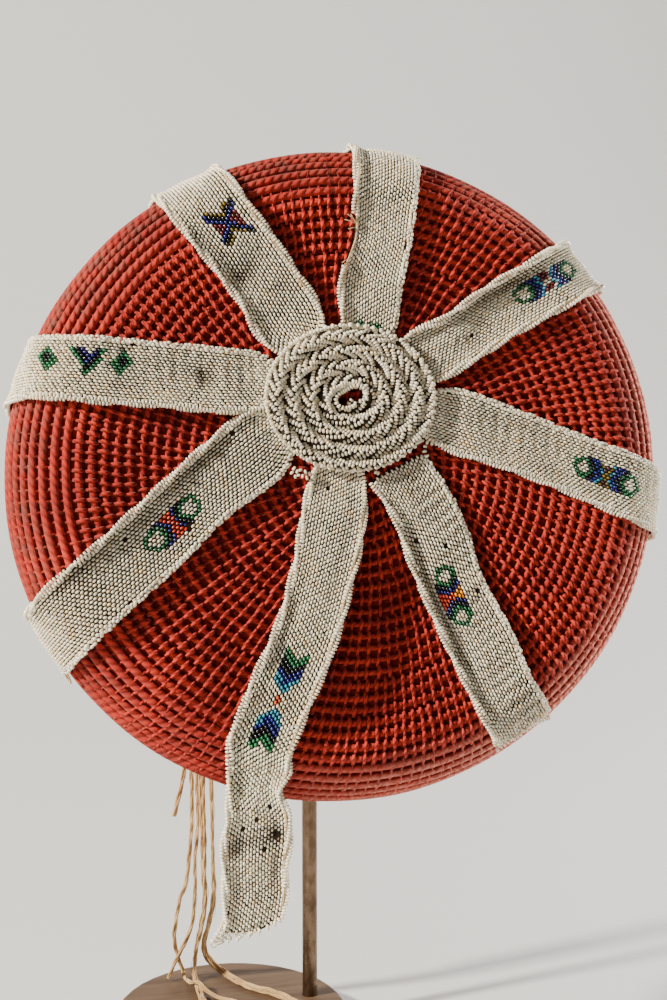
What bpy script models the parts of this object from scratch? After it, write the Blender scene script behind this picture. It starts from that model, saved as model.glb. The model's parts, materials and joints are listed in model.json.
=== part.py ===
# Isicholo hat on a display stand, in metres, +Z up.
# The origin is the middle of the underside of the wooden base. The hat's top faces -Y and a little up.
# The hat's own axes: u to its right, v up along its top, w out of its top.
import math

import bmesh
import bpy
import numpy as np
from mathutils import Vector

# Hat body
rim_radius = 0.1889
rim_round = 0.034
rim_turn_deg = 150
top_dish = 0.004
hat_depth = 0.125
opening_radius = 0.086
hat_wall = 0.005
lip_round = 0.0012
flare_pull = 0.045
neck_pull = 0.028
row_pitch = 0.0067
row_relief = 0.0012
hat_segments = 40
top_rings = 4
side_rings = 4

# The rim is a little oval and off centre, less so inward and towards the head opening
rim_oval = 0.0157
rim_oval_deg = 60.6
rim_offset_u = -0.0030
rim_offset_v = -0.0023
round_radius = 0.050
round_height = 0.080

# Where the hat is held
hat_x = 0.0585
hat_y = -0.0924
hat_height = 0.362
hat_tilt_deg = 16.2

# Stand
base_radius = 0.0724
base_thickness = 0.020
base_edge_round = 0.003
rod_radius = 0.00475
rod_shift = 0.0057
rod_seat_depth = 0.012
stand_segments = 40
rod_segments = 20

# Beadwork
strip_width = 0.035
strip_thickness = 0.0032
strip_fold_over = 0.018
strip_drop = 0.113
rosette_half_width = 0.0493
rosette_half_height = 0.042
rosette_height = 0.0100
rosette_groove = 0.0032
rosette_hole = 0.0066
rosette_turns = 4.3
rosette_u = -0.0017
rosette_v = 0.0352
rosette_foot = 0.74
rosette_rings = 14
rosette_segments = 34
rosette_ridge_power = 0.7
rosette_edge_share = 0.07
rosette_edge_height = 0.35

# Spacing of the sections that the beadwork is lofted through
first_step = 0.0100
flat_step = 0.0170
rim_step = 0.0070
drop_step = 0.0095

# Fits
gap = 0.0003
strip_seat = 0.0004

# Fineness of the lines that shapes are measured on, and steps round a small rounded edge
outline_steps = 60
route_steps = 16
edge_steps = 3

# Across a strip, its section: share of half its width, share of its thickness.
# The underside comes first, and the rolled edges stand highest.
strip_section = [
    (0.94, 0.0),
    (0.0, 0.0),
    (-0.94, 0.0),
    (-1.0, 0.5),
    (-0.92, 1.0),
    (-0.74, 0.80),
    (0.0, 0.80),
    (0.74, 0.80),
    (0.92, 1.0),
    (1.0, 0.5),
]

# Each strip: from a direction round the rosette and a share of its oval, to a direction round the
# hat and a share of the way out to the rim's widest line, then a share of the fold over the rim.
# The rows go along it: how far along, drift to its left and width as shares of the strip's width,
# and how far its left edge, middle and right edge lift, as shares of its thickness.
# Left is the left-hand side of someone who looks outward along the strip.
strip_table = {
    "strip_upper_left": {
        "from_deg": -33.4, "from_share": 0.84, "to_deg": -26.8, "reach": 1.0, "fold": 1.0,
        "rows": [
            (0.00, 0.00, 0.62, 0.0, 0.0, 0.0),
            (0.08, 0.00, 1.04, 0.0, 0.0, 0.0),
            (0.30, -0.02, 1.11, 0.5, 0.1, 0.5),
            (0.50, 0.00, 1.14, 0.4, 0.7, 0.9),
            (0.65, 0.05, 1.18, 0.7, 0.2, 0.9),
            (0.80, 0.01, 1.21, 0.6, 0.1, 0.6),
            (1.00, -0.14, 1.17, 0.1, 0.0, 0.1),
        ],
    },
    "strip_top": {
        "from_deg": 17.0, "from_share": 0.84, "to_deg": 10.9, "reach": 1.0, "fold": 1.0,
        "rows": [
            (0.00, 0.00, 0.62, 0.0, 0.0, 0.0),
            (0.08, 0.02, 0.88, 0.0, 0.0, 0.0),
            (0.25, 0.07, 0.99, 0.6, 0.1, 0.6),
            (0.42, -0.01, 0.92, 0.3, 0.1, 0.8),
            (0.60, 0.02, 1.00, 0.6, 0.1, 0.7),
            (0.80, 0.02, 1.08, 0.8, 0.1, 0.3),
            (1.00, 0.00, 1.12, 0.1, 0.0, 0.1),
        ],
    },
    "strip_upper_right": {
        "from_deg": 59.1, "from_share": 0.84, "to_deg": 52.4, "reach": 1.0, "fold": 1.0,
        "rows": [
            (0.00, 0.00, 0.62, 0.0, 0.0, 0.0),
            (0.08, -0.03, 0.92, 0.0, 0.0, 0.0),
            (0.20, -0.07, 0.86, 0.7, 0.0, 0.3),
            (0.40, -0.04, 0.90, 1.4, 0.0, 0.4),
            (0.70, -0.09, 0.93, 1.2, 0.1, 0.4),
            (0.85, -0.11, 0.94, 0.5, 0.1, 0.3),
            (1.00, -0.11, 0.94, 0.1, 0.0, 0.1),
        ],
    },
    "strip_right": {
        "from_deg": 103.1, "from_share": 0.84, "to_deg": 97.5, "reach": 1.0, "fold": 1.0,
        "rows": [
            (0.00, 0.00, 0.62, 0.0, 0.0, 0.0),
            (0.08, 0.00, 0.92, 0.0, 0.0, 0.0),
            (0.30, -0.04, 0.97, 0.4, 0.2, 0.6),
            (0.50, -0.10, 0.96, 0.3, 0.1, 0.7),
            (0.80, -0.20, 1.02, 0.4, 0.0, 0.6),
            (1.00, -0.16, 0.91, 0.1, 0.0, 0.1),
        ],
    },
    "strip_lower_right": {
        "from_deg": 153.0, "from_share": 1.06, "to_deg": 148.7, "reach": 0.880, "fold": 0.0,
        "rows": [
            (0.00, 0.00, 0.97, 0.2, 0.1, 0.2),
            (0.15, 0.05, 1.02, 0.5, 0.4, 0.9),
            (0.30, -0.02, 1.10, 0.3, 0.3, 0.7),
            (0.45, -0.13, 1.04, 0.5, 0.1, 1.3),
            (0.70, -0.14, 1.07, 0.9, 0.3, 0.8),
            (0.85, -0.16, 1.02, 0.7, 0.1, 0.4),
            (1.00, -0.04, 1.09, 0.3, 0.1, 0.2),
        ],
    },
    "strip_bottom": {
        "from_deg": 190.8, "from_share": 0.84, "to_deg": 202.4, "reach": 0.790, "fold": 0.0,
        "rows": [
            (0.00, 0.02, 0.62, 0.0, 0.0, 0.0),
            (0.07, 0.08, 0.88, 0.0, 0.0, 0.0),
            (0.20, 0.12, 1.02, 1.8, 2.6, 1.6),
            (0.40, 0.18, 0.97, 2.9, 2.9, 2.4),
            (0.60, 0.19, 0.97, 3.2, 2.8, 2.2),
            (0.70, 0.15, 1.00, 3.0, 2.4, 2.6),
            (0.80, 0.09, 1.01, 2.6, 1.9, 1.8),
            (0.93, 0.05, 1.00, 0.6, 0.3, 0.5),
            (1.00, 0.03, 1.02, 0.0, 0.0, 0.0),
        ],
    },
    "strip_lower_left": {
        "from_deg": -110.8, "from_share": 0.84, "to_deg": -117.0, "reach": 1.0, "fold": 0.0,
        "rows": [
            (0.00, 0.00, 0.62, 0.0, 0.0, 0.0),
            (0.07, 0.01, 1.04, 0.0, 0.0, 0.0),
            (0.20, 0.00, 1.12, 0.8, 0.2, 0.3),
            (0.30, -0.03, 1.05, 0.6, 0.3, 0.8),
            (0.50, 0.02, 1.08, 0.7, 0.1, 1.0),
            (0.70, 0.04, 1.05, 0.8, 0.2, 1.1),
            (0.90, 0.08, 1.06, 0.4, 0.1, 0.8),
            (1.00, 0.08, 1.03, 0.1, 0.0, 0.2),
        ],
    },
    "strip_left": {
        "from_deg": -76.0, "from_share": 0.84, "to_deg": -70.4, "reach": 1.0, "fold": 1.0,
        "rows": [
            (0.00, 0.00, 0.62, 0.0, 0.0, 0.0),
            (0.08, 0.01, 0.90, 0.0, 0.0, 0.0),
            (0.20, 0.06, 1.01, 0.6, 0.3, 0.3),
            (0.40, 0.08, 1.01, 0.7, 0.0, 0.3),
            (0.60, 0.12, 1.03, 0.5, 0.3, 0.3),
            (0.80, 0.14, 1.01, 0.5, 0.1, 0.3),
            (1.00, 0.06, 1.09, 0.1, 0.0, 0.1),
        ],
    },
}

# The bottom strip's free end, below the rim: share of its drop, drift to its left, width and swing
# forward, as shares of the strip's width. The last rows close its slanted end.
drop_rows = [
    (0.00, 0.03, 1.02, 0.00),
    (0.10, 0.02, 0.98, 0.02),
    (0.21, -0.06, 0.84, 0.03),
    (0.35, 0.00, 0.98, 0.03),
    (0.45, -0.02, 1.08, 0.02),
    (0.60, -0.05, 1.02, 0.00),
    (0.80, -0.06, 0.98, -0.01),
    (0.90, -0.14, 0.86, -0.01),
    (0.95, -0.38, 0.55, 0.00),
    (1.00, -0.72, 0.10, 0.00),
]

# The fibre strands: diameter, and the points each passes, from the lip of the head opening down.
cord_table = {
    "tie_cord_1": (0.0022, [
        (-0.0200, 0.0200, 0.3196), (-0.0200, 0.0238, 0.3185), (-0.0200, 0.0272, 0.3116),
        (-0.0200, 0.0284, 0.2956), (-0.0192, 0.0288, 0.2300), (-0.0188, 0.0290, 0.1666),
        (-0.0195, 0.0300, 0.1334), (-0.0207, 0.0310, 0.1112), (-0.0227, 0.0330, 0.0939),
        (-0.0268, 0.0355, 0.0811), (-0.0292, 0.0390, 0.0644), (-0.0294, 0.0430, 0.0512),
        (-0.0266, 0.0490, 0.0371), (-0.0238, 0.0512, 0.0272), (-0.0226, 0.0480, 0.0226),
        (-0.0212, 0.0420, 0.0219), (-0.0196, 0.0350, 0.0240), (-0.0165, 0.0280, 0.0267),
        (-0.0122, 0.0215, 0.0240), (-0.0068, 0.0155, 0.0216),
        (0.0003, 0.0088, 0.0214), (0.0090, 0.0010, 0.0214), (0.0190, -0.0060, 0.0214),
    ]),
    "tie_cord_2": (0.0020, [
        (-0.0159, 0.0173, 0.3106), (-0.0159, 0.0212, 0.3095), (-0.0159, 0.0245, 0.3026),
        (-0.0159, 0.0257, 0.2866), (-0.0162, 0.0262, 0.2300), (-0.0160, 0.0270, 0.1671),
        (-0.0158, 0.0276, 0.1338), (-0.0178, 0.0280, 0.1100), (-0.0172, 0.0312, 0.0900),
        (-0.0190, 0.0360, 0.0642), (-0.0241, 0.0405, 0.0473), (-0.0288, 0.0450, 0.0350),
        (-0.0315, 0.0478, 0.0268), (-0.0330, 0.0485, 0.0222),
    ]),
    "tie_cord_3": (0.0040, [
        (-0.0115, 0.0152, 0.3034), (-0.0115, 0.0191, 0.3023), (-0.0115, 0.0224, 0.2954),
        (-0.0115, 0.0236, 0.2794), (-0.0126, 0.0238, 0.2300), (-0.0134, 0.0236, 0.1679),
        (-0.0130, 0.0236, 0.1344), (-0.0126, 0.0262, 0.1006), (-0.0112, 0.0300, 0.0821),
        (-0.0128, 0.0350, 0.0636), (-0.0154, 0.0420, 0.0454), (-0.0158, 0.0470, 0.0330),
        (-0.0160, 0.0470, 0.0262), (-0.0162, 0.0410, 0.0226), (-0.0164, 0.0320, 0.0223),
        (-0.0166, 0.0190, 0.0223), (-0.0164, 0.0060, 0.0223), (-0.0150, -0.0060, 0.0223),
    ]),
    "tie_cord_4": (0.0040, [
        (-0.0045, 0.0126, 0.2944), (-0.0045, 0.0165, 0.2933), (-0.0045, 0.0198, 0.2864),
        (-0.0045, 0.0210, 0.2704), (-0.0065, 0.0210, 0.2250), (-0.0080, 0.0206, 0.1646),
        (-0.0075, 0.0210, 0.1349), (-0.0068, 0.0240, 0.1067), (-0.0058, 0.0300, 0.0830),
        (-0.0075, 0.0370, 0.0636), (-0.0100, 0.0440, 0.0470), (-0.0085, 0.0495, 0.0370),
        (-0.0040, 0.0530, 0.0285), (0.0025, 0.0505, 0.0232), (0.0095, 0.0367, 0.0223),
        (0.0179, 0.0229, 0.0223), (0.0297, 0.0109, 0.0223), (0.0380, -0.0010, 0.0223),
        (0.0440, -0.0130, 0.0223),
    ]),
    "tie_cord_5": (0.0024, [
        (-0.0235, 0.0235, 0.3317), (-0.0235, 0.0273, 0.3306), (-0.0235, 0.0307, 0.3237),
        (-0.0235, 0.0319, 0.3077), (-0.0234, 0.0320, 0.2500), (-0.0228, 0.0318, 0.1900),
        (-0.0236, 0.0314, 0.1675), (-0.0258, 0.0310, 0.1556), (-0.0302, 0.0305, 0.1386),
    ]),
}
cord_point_spacing = 3.0
cord_roundness = 2


def remove_all_objects():
    for old in list(bpy.data.objects):
        bpy.data.objects.remove(old, do_unlink=True)


def make_material(name, colour, roughness, metallic=0.0):
    material = bpy.data.materials.new(name)
    material.use_nodes = True
    shader = material.node_tree.nodes["Principled BSDF"]
    shader.inputs["Base Color"].default_value = (*colour, 1.0)
    shader.inputs["Roughness"].default_value = roughness
    shader.inputs["Metallic"].default_value = metallic
    return material


def make_mesh_object(name, points, faces, material, sharp_deg=50):
    mesh = bpy.data.meshes.new(name)
    mesh.from_pydata([tuple(point) for point in points], [], faces)
    work = bmesh.new()
    work.from_mesh(mesh)
    bmesh.ops.recalc_face_normals(work, faces=work.faces)
    work.to_mesh(mesh)
    work.free()
    mesh.shade_smooth()
    mesh.set_sharp_from_angle(angle=math.radians(sharp_deg))
    mesh.materials.append(material)
    made = bpy.data.objects.new(name, mesh)
    bpy.context.scene.collection.objects.link(made)
    return made


def smooth_read(rows, at):
    """The columns of a table after its first, read at a place between its rows along one smooth curve."""
    table = np.array(rows, float)
    places = table[:, 0]
    slopes = np.gradient(table[:, 1:], places, axis=0)
    at = min(max(at, places[0]), places[-1])
    row = min(int(np.searchsorted(places, at, side="right")) - 1, len(places) - 2)
    span = places[row + 1] - places[row]
    t = (at - places[row]) / span
    start, end = table[row, 1:], table[row + 1, 1:]
    return (
        (2 * t**3 - 3 * t**2 + 1) * start
        + (t**3 - 2 * t**2 + t) * span * slopes[row]
        + (3 * t**2 - 2 * t**3) * end
        + (t**3 - t**2) * span * slopes[row + 1]
    )


# The hat's outline, as radius and height along its axis, from the middle of the top outward
flat_radius = rim_radius - rim_round
rim_end = math.radians(90 - rim_turn_deg)
tilt = math.radians(hat_tilt_deg)


def outline_points(top_count, rim_count, side_count):
    """Points of the outline: the dished top, the round of the rim, and the side that narrows to the opening."""
    points = []
    for i in range(top_count):
        share = i / top_count
        points.append((flat_radius * share, -top_dish * (1 - share**2)))
    for i in range(rim_count + 1):
        angle = math.radians(90) + (rim_end - math.radians(90)) * i / rim_count
        points.append((flat_radius + rim_round * math.cos(angle), rim_round * (math.sin(angle) - 1)))
    start = Vector(points[-1])
    end = Vector((opening_radius, -hat_depth))
    leave = Vector((math.sin(rim_end), -math.cos(rim_end)))
    first = start + leave * flare_pull
    last = end + Vector((0.0, neck_pull))
    for i in range(1, side_count + 1):
        t = i / side_count
        point = start * (1 - t) ** 3 + first * 3 * t * (1 - t) ** 2 + last * 3 * t * t * (1 - t) + end * t**3
        points.append(tuple(point))
    return np.array(points)


fine_outline = outline_points(outline_steps, outline_steps, outline_steps)
outline_length = np.concatenate([[0.0], np.cumsum(np.hypot(*np.diff(fine_outline, axis=0).T))])
flat_length = float(outline_length[outline_steps])
rim_arc = flat_length + rim_round * math.pi / 2


def outline_at(length, height):
    """Radius and axis height at a length along the outline, a height off the surface, with the bare radius."""
    r = np.interp(length, outline_length, fine_outline[:, 0])
    w = np.interp(length, outline_length, fine_outline[:, 1])
    before = min(max(length - 0.0005, 0.0), outline_length[-1] - 0.001)
    along_r = np.interp(before + 0.001, outline_length, fine_outline[:, 0]) - np.interp(
        before, outline_length, fine_outline[:, 0])
    along_w = np.interp(before + 0.001, outline_length, fine_outline[:, 1]) - np.interp(
        before, outline_length, fine_outline[:, 1])
    size = math.hypot(along_r, along_w)
    return r - along_w / size * height, w + along_r / size * height, r


def eased(share):
    share = min(max(share, 0.0), 1.0)
    return share * share * (3 - 2 * share)


def hat_point(u, v, w):
    """A point given along the hat's own axes, in the world, carried along by the uneven rim."""
    outward = (math.hypot(u, v) - round_radius) / (rim_radius - round_radius)
    share = eased(outward) * eased((w + hat_depth) / round_height)
    swell = 1.0 + share * rim_oval * math.cos(2 * (math.atan2(u, v) - math.radians(rim_oval_deg)))
    u = u * swell + share * rim_offset_u
    v = v * swell + share * rim_offset_v
    y = v * math.sin(tilt) - w * math.cos(tilt)
    z = v * math.cos(tilt) + w * math.sin(tilt)
    return Vector((hat_x + u, hat_y + y, base_thickness + hat_height + z))


def surface_point(across, up, height):
    """A point over the hat's skin, with the skin unrolled flat round the middle of the top."""
    length = math.hypot(across, up)
    turn = math.atan2(across, up)
    r, w, _ = outline_at(length, height)
    return hat_point(r * math.sin(turn), r * math.cos(turn), w)


def turned_solid(name, profile, segments, place, material):
    """A closed turned solid from a profile of radius and height that starts and ends on the axis."""
    points = []
    rings = []
    for r, w in profile:
        if r < 1e-6:
            points.append(place(0.0, 0.0, w))
            rings.append([len(points) - 1] * segments)
            continue
        ring = []
        for k in range(segments):
            turn = 2 * math.pi * k / segments
            points.append(place(r * math.sin(turn), r * math.cos(turn), w))
            ring.append(len(points) - 1)
        rings.append(ring)
    faces = []
    for one, two in zip(rings, rings[1:]):
        for k in range(segments):
            n = (k + 1) % segments
            corners = [one[k], one[n], two[n], two[k]]
            faces.append(list(dict.fromkeys(corners)))
    return make_mesh_object(name, points, faces, material)


def hat_profile():
    """The hat's wall: rows of cord round the rim outside, and the same line a wall's thickness inside."""
    outer = [tuple(point) for point in outline_points(top_rings, 1, 1)[:top_rings]]
    rim_length = rim_round * math.radians(rim_turn_deg)
    rows = round(rim_length / row_pitch)
    start = flat_length
    for i in range(2 * rows + 1):
        sunk = row_relief if i % 2 else 0.0
        r, w, _ = outline_at(start + rim_length * i / (2 * rows), -sunk)
        outer.append((r, w))
    side_length = outline_length[-1] - start - rim_length
    for i in range(1, side_rings):
        r, w, _ = outline_at(start + rim_length + side_length * i / side_rings, 0.0)
        outer.append((r, w))
    inside = opening_radius - hat_wall
    lip = [
        (opening_radius, -hat_depth + lip_round),
        (opening_radius - lip_round, -hat_depth),
        (inside + lip_round, -hat_depth),
        (inside, -hat_depth + lip_round),
    ]
    inner = []
    for i in range(side_rings - 1, 0, -1):
        r, w, _ = outline_at(start + rim_length + side_length * i / side_rings, -hat_wall)
        inner.append((r, w))
    inner_rows = rows // 2
    for i in range(inner_rows, -1, -1):
        r, w, _ = outline_at(start + rim_length * i / inner_rows, -hat_wall)
        inner.append((r, w))
    for i in range(top_rings - 1, -1, -1):
        share = i / top_rings
        inner.append((flat_radius * share, -top_dish * (1 - share**2) - hat_wall))
    return outer + lip + inner


def rod_place():
    """The rod's middle line, just behind the lower lip of the head opening, and the height of its tip's centre."""
    lip_radius = opening_radius - hat_wall + lip_round
    beside = rod_shift + rod_radius
    reach = math.sqrt(lip_radius**2 - beside**2)
    lip_y = hat_y - reach * math.sin(tilt) + hat_depth * math.cos(tilt)
    y = lip_y + gap + rod_radius
    facet = math.cos(math.pi / hat_segments)
    wall = []
    for length in np.linspace(flat_length, outline_length[-1], outline_steps * 4):
        r, w, _ = outline_at(length, -hat_wall)
        r = r * facet
        wall.append(hat_point(-rod_shift, math.sqrt(r * r - rod_shift**2), w))
    wall = [point for point in wall if point.z > base_thickness + hat_height]
    low = base_thickness + hat_height
    high = low + rim_radius
    while high - low > gap / 10:
        middle = (low + high) / 2
        nearest = min(math.hypot(point.y - y, point.z - middle) for point in wall)
        beneath = any(abs(point.y - y) < rod_radius and point.z < middle for point in wall)
        if nearest > rod_radius + gap and not beneath:
            low = middle
        else:
            high = middle
    return hat_x - rod_shift, y, low


def strip_ends(strip):
    """Start and end of a strip's middle line, on the unrolled skin."""
    from_turn = math.radians(strip["from_deg"])
    to_turn = math.radians(strip["to_deg"])
    start = Vector((
        rosette_u + strip["from_share"] * rosette_half_width * math.sin(from_turn),
        rosette_v + strip["from_share"] * rosette_half_height * math.cos(from_turn),
    ))
    end = Vector((math.sin(to_turn), math.cos(to_turn))) * strip["reach"] * rim_arc
    return start, end


def strip_places(strip, length):
    """How far along its line each section lies: wide apart on the flat, close together round the rim."""
    start, end = strip_ends(strip)
    total = length + strip["fold"] * strip_fold_over
    places = [0.0, first_step]
    while places[-1] < total:
        here = start + (end - start) * places[-1] / length
        step = flat_step if here.length < flat_length - flat_step else rim_step
        places.append(places[-1] + step)
    if len(places) > 2 and total - places[-2] < rim_step / 2:
        places.pop()
    places[-1] = total
    return places


def section_ring(place, left, half_width, lifts, seat):
    """One section of a strip, through a function that places an offset from its middle and a height."""
    lift_left, lift_middle, lift_right = lifts
    ring = []
    for across, height in strip_section:
        lift = lift_middle * (1 - across**2)
        lift += (lift_left if across > 0 else lift_right) * across**2
        ring.append(place(left * across * half_width, seat + (height + lift) * strip_thickness))
    return ring


def strip_rings(strip):
    start, end = strip_ends(strip)
    length = (end - start).length
    ahead = (end - start) / length
    left = Vector((-ahead.y, ahead.x))
    rings = []
    for place in strip_places(strip, length):
        drift, width, lift_left, lift_middle, lift_right = smooth_read(strip["rows"], place / length)
        middle = start + ahead * place
        bare = outline_at(middle.length, 0.0)[2]
        spread = middle.length / bare
        centre = middle + left * drift * strip_width

        def on_skin(offset, height):
            spot = centre + offset * spread
            return surface_point(spot.x, spot.y, height)

        lifts = (max(lift_left, 0.0), max(lift_middle, 0.0), max(lift_right, 0.0))
        rings.append(section_ring(on_skin, left, width * strip_width / 2, lifts, strip_seat))
    return rings, end


def drop_rings(end):
    """The sections of the free end that hangs straight down from the rim, level with the rim's front."""
    side = Vector((-end.y, end.x * math.sin(tilt), 0.0)).normalized()
    out = Vector((side.y, -side.x, 0.0))
    top = surface_point(end.x, end.y, strip_seat)
    steps = round(strip_drop / drop_step)
    rings = []
    for i in range(1, steps + 1):
        share = i / steps
        drift, width, swing = smooth_read(drop_rows, share)
        centre = top + side * drift * strip_width + out * swing * strip_width
        centre.z = top.z - strip_drop * share

        def in_air(offset, height):
            return centre + side * offset + out * height

        rings.append(section_ring(in_air, 1.0, width * strip_width / 2, (0.0, 0.0, 0.0), 0.0))
    return rings


def lofted_solid(name, rings, material):
    points = [point for ring in rings for point in ring]
    around = len(rings[0])
    faces = [list(range(around)), list(range(len(points) - around, len(points)))]
    for j in range(len(rings) - 1):
        for k in range(around):
            n = (k + 1) % around
            faces.append([j * around + k, j * around + n, (j + 1) * around + n, (j + 1) * around + k])
    return make_mesh_object(name, points, faces, material, sharp_deg=60)


def make_strip(name, strip, material):
    rings, end = strip_rings(strip)
    if name == "strip_bottom":
        rings += drop_rings(end)
    return lofted_solid(name, rings, material)


def rosette_top(share, turn, inner):
    """Height of the spiral of beaded rope over the skin."""
    under = strip_thickness + 2 * gap
    inward = (share - inner) / (1 - inner) * rosette_turns + turn / (2 * math.pi)
    ridge = math.sin(math.pi * (inward % 1.0)) ** rosette_ridge_power
    height = rosette_height - rosette_groove * (1 - ridge)
    edge = math.sqrt(min(1.0, (1.0 - share) / rosette_edge_share))
    return under + (height - under) * (rosette_edge_height + (1.0 - rosette_edge_height) * edge)


def make_rosette(material):
    """An oval ring of coiled rope. Its outer turn stands over the strips' ends, its foot on the hat."""
    inner = rosette_hole / rosette_half_width
    under = strip_thickness + 2 * gap
    shares = [inner + (1 - inner) * i / (rosette_rings - 1) for i in range(rosette_rings)]
    shares.insert(-1, 1 - rosette_edge_share / 2)
    rings = []
    for share in shares:
        rings.append([(share, rosette_top(share, 2 * math.pi * k / rosette_segments, inner))
                      for k in range(rosette_segments)])
    for share, height in ((1.0, under), (rosette_foot, under), (rosette_foot, gap), (inner, gap)):
        rings.append([(share, height)] * rosette_segments)
    points = []
    for ring in rings:
        for k, (share, height) in enumerate(ring):
            turn = 2 * math.pi * k / rosette_segments
            points.append(surface_point(
                rosette_u + share * rosette_half_width * math.sin(turn),
                rosette_v + share * rosette_half_height * math.cos(turn),
                height,
            ))
    faces = []
    count = len(rings)
    for j in range(count):
        one = j * rosette_segments
        two = (j + 1) % count * rosette_segments
        for k in range(rosette_segments):
            n = (k + 1) % rosette_segments
            faces.append([one + k, one + n, two + n, two + k])
    return make_mesh_object("rosette", points, faces, material, sharp_deg=75)


def smooth_route(route, spacing):
    """Points on the smooth curve through a route's points: the first two, and then a spacing apart."""
    points = [Vector(point) for point in route]
    ends = [points[0] * 2 - points[1]] + points + [points[-1] * 2 - points[-2]]
    fine = []
    for a, b, c, d in zip(ends, ends[1:], ends[2:], ends[3:]):
        for i in range(route_steps):
            t = i / route_steps
            fine.append((
                b * 2 + (c - a) * t + (a * 2 - b * 5 + c * 4 - d) * t**2 + (b * 3 - a - c * 3 + d) * t**3
            ) / 2)
    fine.append(points[-1])
    lengths = [0.0]
    for one, two in zip(fine, fine[1:]):
        lengths.append(lengths[-1] + (two - one).length)
    lead = (points[1] - points[0]).length
    count = round((lengths[-1] - lead) / spacing)
    wanted = [0.0] + list(np.linspace(lead, lengths[-1], count + 1))
    flat = np.array([tuple(point) for point in fine])
    return [tuple(np.interp(place, lengths, flat[:, k]) for k in range(3)) for place in wanted]


def make_cord(name, diameter, route, material):
    curve = bpy.data.curves.new(name, "CURVE")
    curve.dimensions = "3D"
    curve.bevel_depth = diameter / 2
    curve.bevel_resolution = cord_roundness
    curve.use_fill_caps = True
    points = smooth_route(route, diameter * cord_point_spacing)
    spline = curve.splines.new("POLY")
    spline.points.add(len(points) - 1)
    for point, place in zip(spline.points, points):
        point.co = (*place, 1.0)
    curve.materials.append(material)
    made = bpy.data.objects.new(name, curve)
    bpy.context.scene.collection.objects.link(made)
    return made


def make_stand(wood, steel):
    rod_x, rod_y, tip_z = rod_place()
    edge = []
    for i in range(edge_steps + 1):
        angle = math.radians(90) * i / edge_steps
        edge.append((
            base_radius - base_edge_round * (1 - math.cos(angle)),
            base_thickness - base_edge_round * (1 - math.sin(angle)),
        ))
    profile = [(0.0, 0.0), (base_radius, 0.0)] + edge + [(0.0, base_thickness)]
    base = turned_solid(
        "stand_base", profile, stand_segments, lambda x, y, z: Vector((x, y, z)), wood)

    def at_rod(x, y, z):
        return Vector((rod_x + x, rod_y + y, z))

    hole = rod_radius + gap
    floor = base_thickness - rod_seat_depth
    cutter_profile = [(0.0, floor), (hole, floor), (hole, base_thickness * 2), (0.0, base_thickness * 2)]
    cutter = turned_solid("rod_hole_cutter", cutter_profile, rod_segments, at_rod, wood)
    cutter.hide_render = True
    cutter.display_type = "WIRE"
    cut = base.modifiers.new("rod_hole", "BOOLEAN")
    cut.operation = "DIFFERENCE"
    cut.solver = "EXACT"
    cut.object = cutter

    tip = []
    for i in range(edge_steps + 1):
        angle = math.radians(90) * i / (edge_steps + 1)
        tip.append((rod_radius * math.cos(angle), tip_z + rod_radius * math.sin(angle)))
    rod_profile = [(0.0, floor + gap), (rod_radius, floor + gap)] + tip + [(0.0, tip_z + rod_radius)]
    turned_solid("stand_rod", rod_profile, rod_segments, at_rod, steel)


remove_all_objects()
red_cord = make_material("red cord", (0.50, 0.065, 0.030), 0.85)
white_beads = make_material("white beads", (0.70, 0.68, 0.60), 0.35)
fibre = make_material("plant fibre", (0.50, 0.33, 0.17), 0.85)
dark_wood = make_material("dark wood", (0.16, 0.11, 0.075), 0.60)
aged_steel = make_material("aged steel", (0.32, 0.25, 0.20), 0.38, 1.0)

turned_solid("hat_body", hat_profile(), hat_segments, hat_point, red_cord)
make_rosette(white_beads)
for strip_name, strip_row in strip_table.items():
    make_strip(strip_name, strip_row, white_beads)
for cord_name, (cord_diameter, cord_route) in cord_table.items():
    make_cord(cord_name, cord_diameter, cord_route, fibre)
make_stand(dark_wood, aged_steel)
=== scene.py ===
import json
import math

import bmesh
import bpy
import numpy as np
from mathutils import Matrix, Vector

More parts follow.
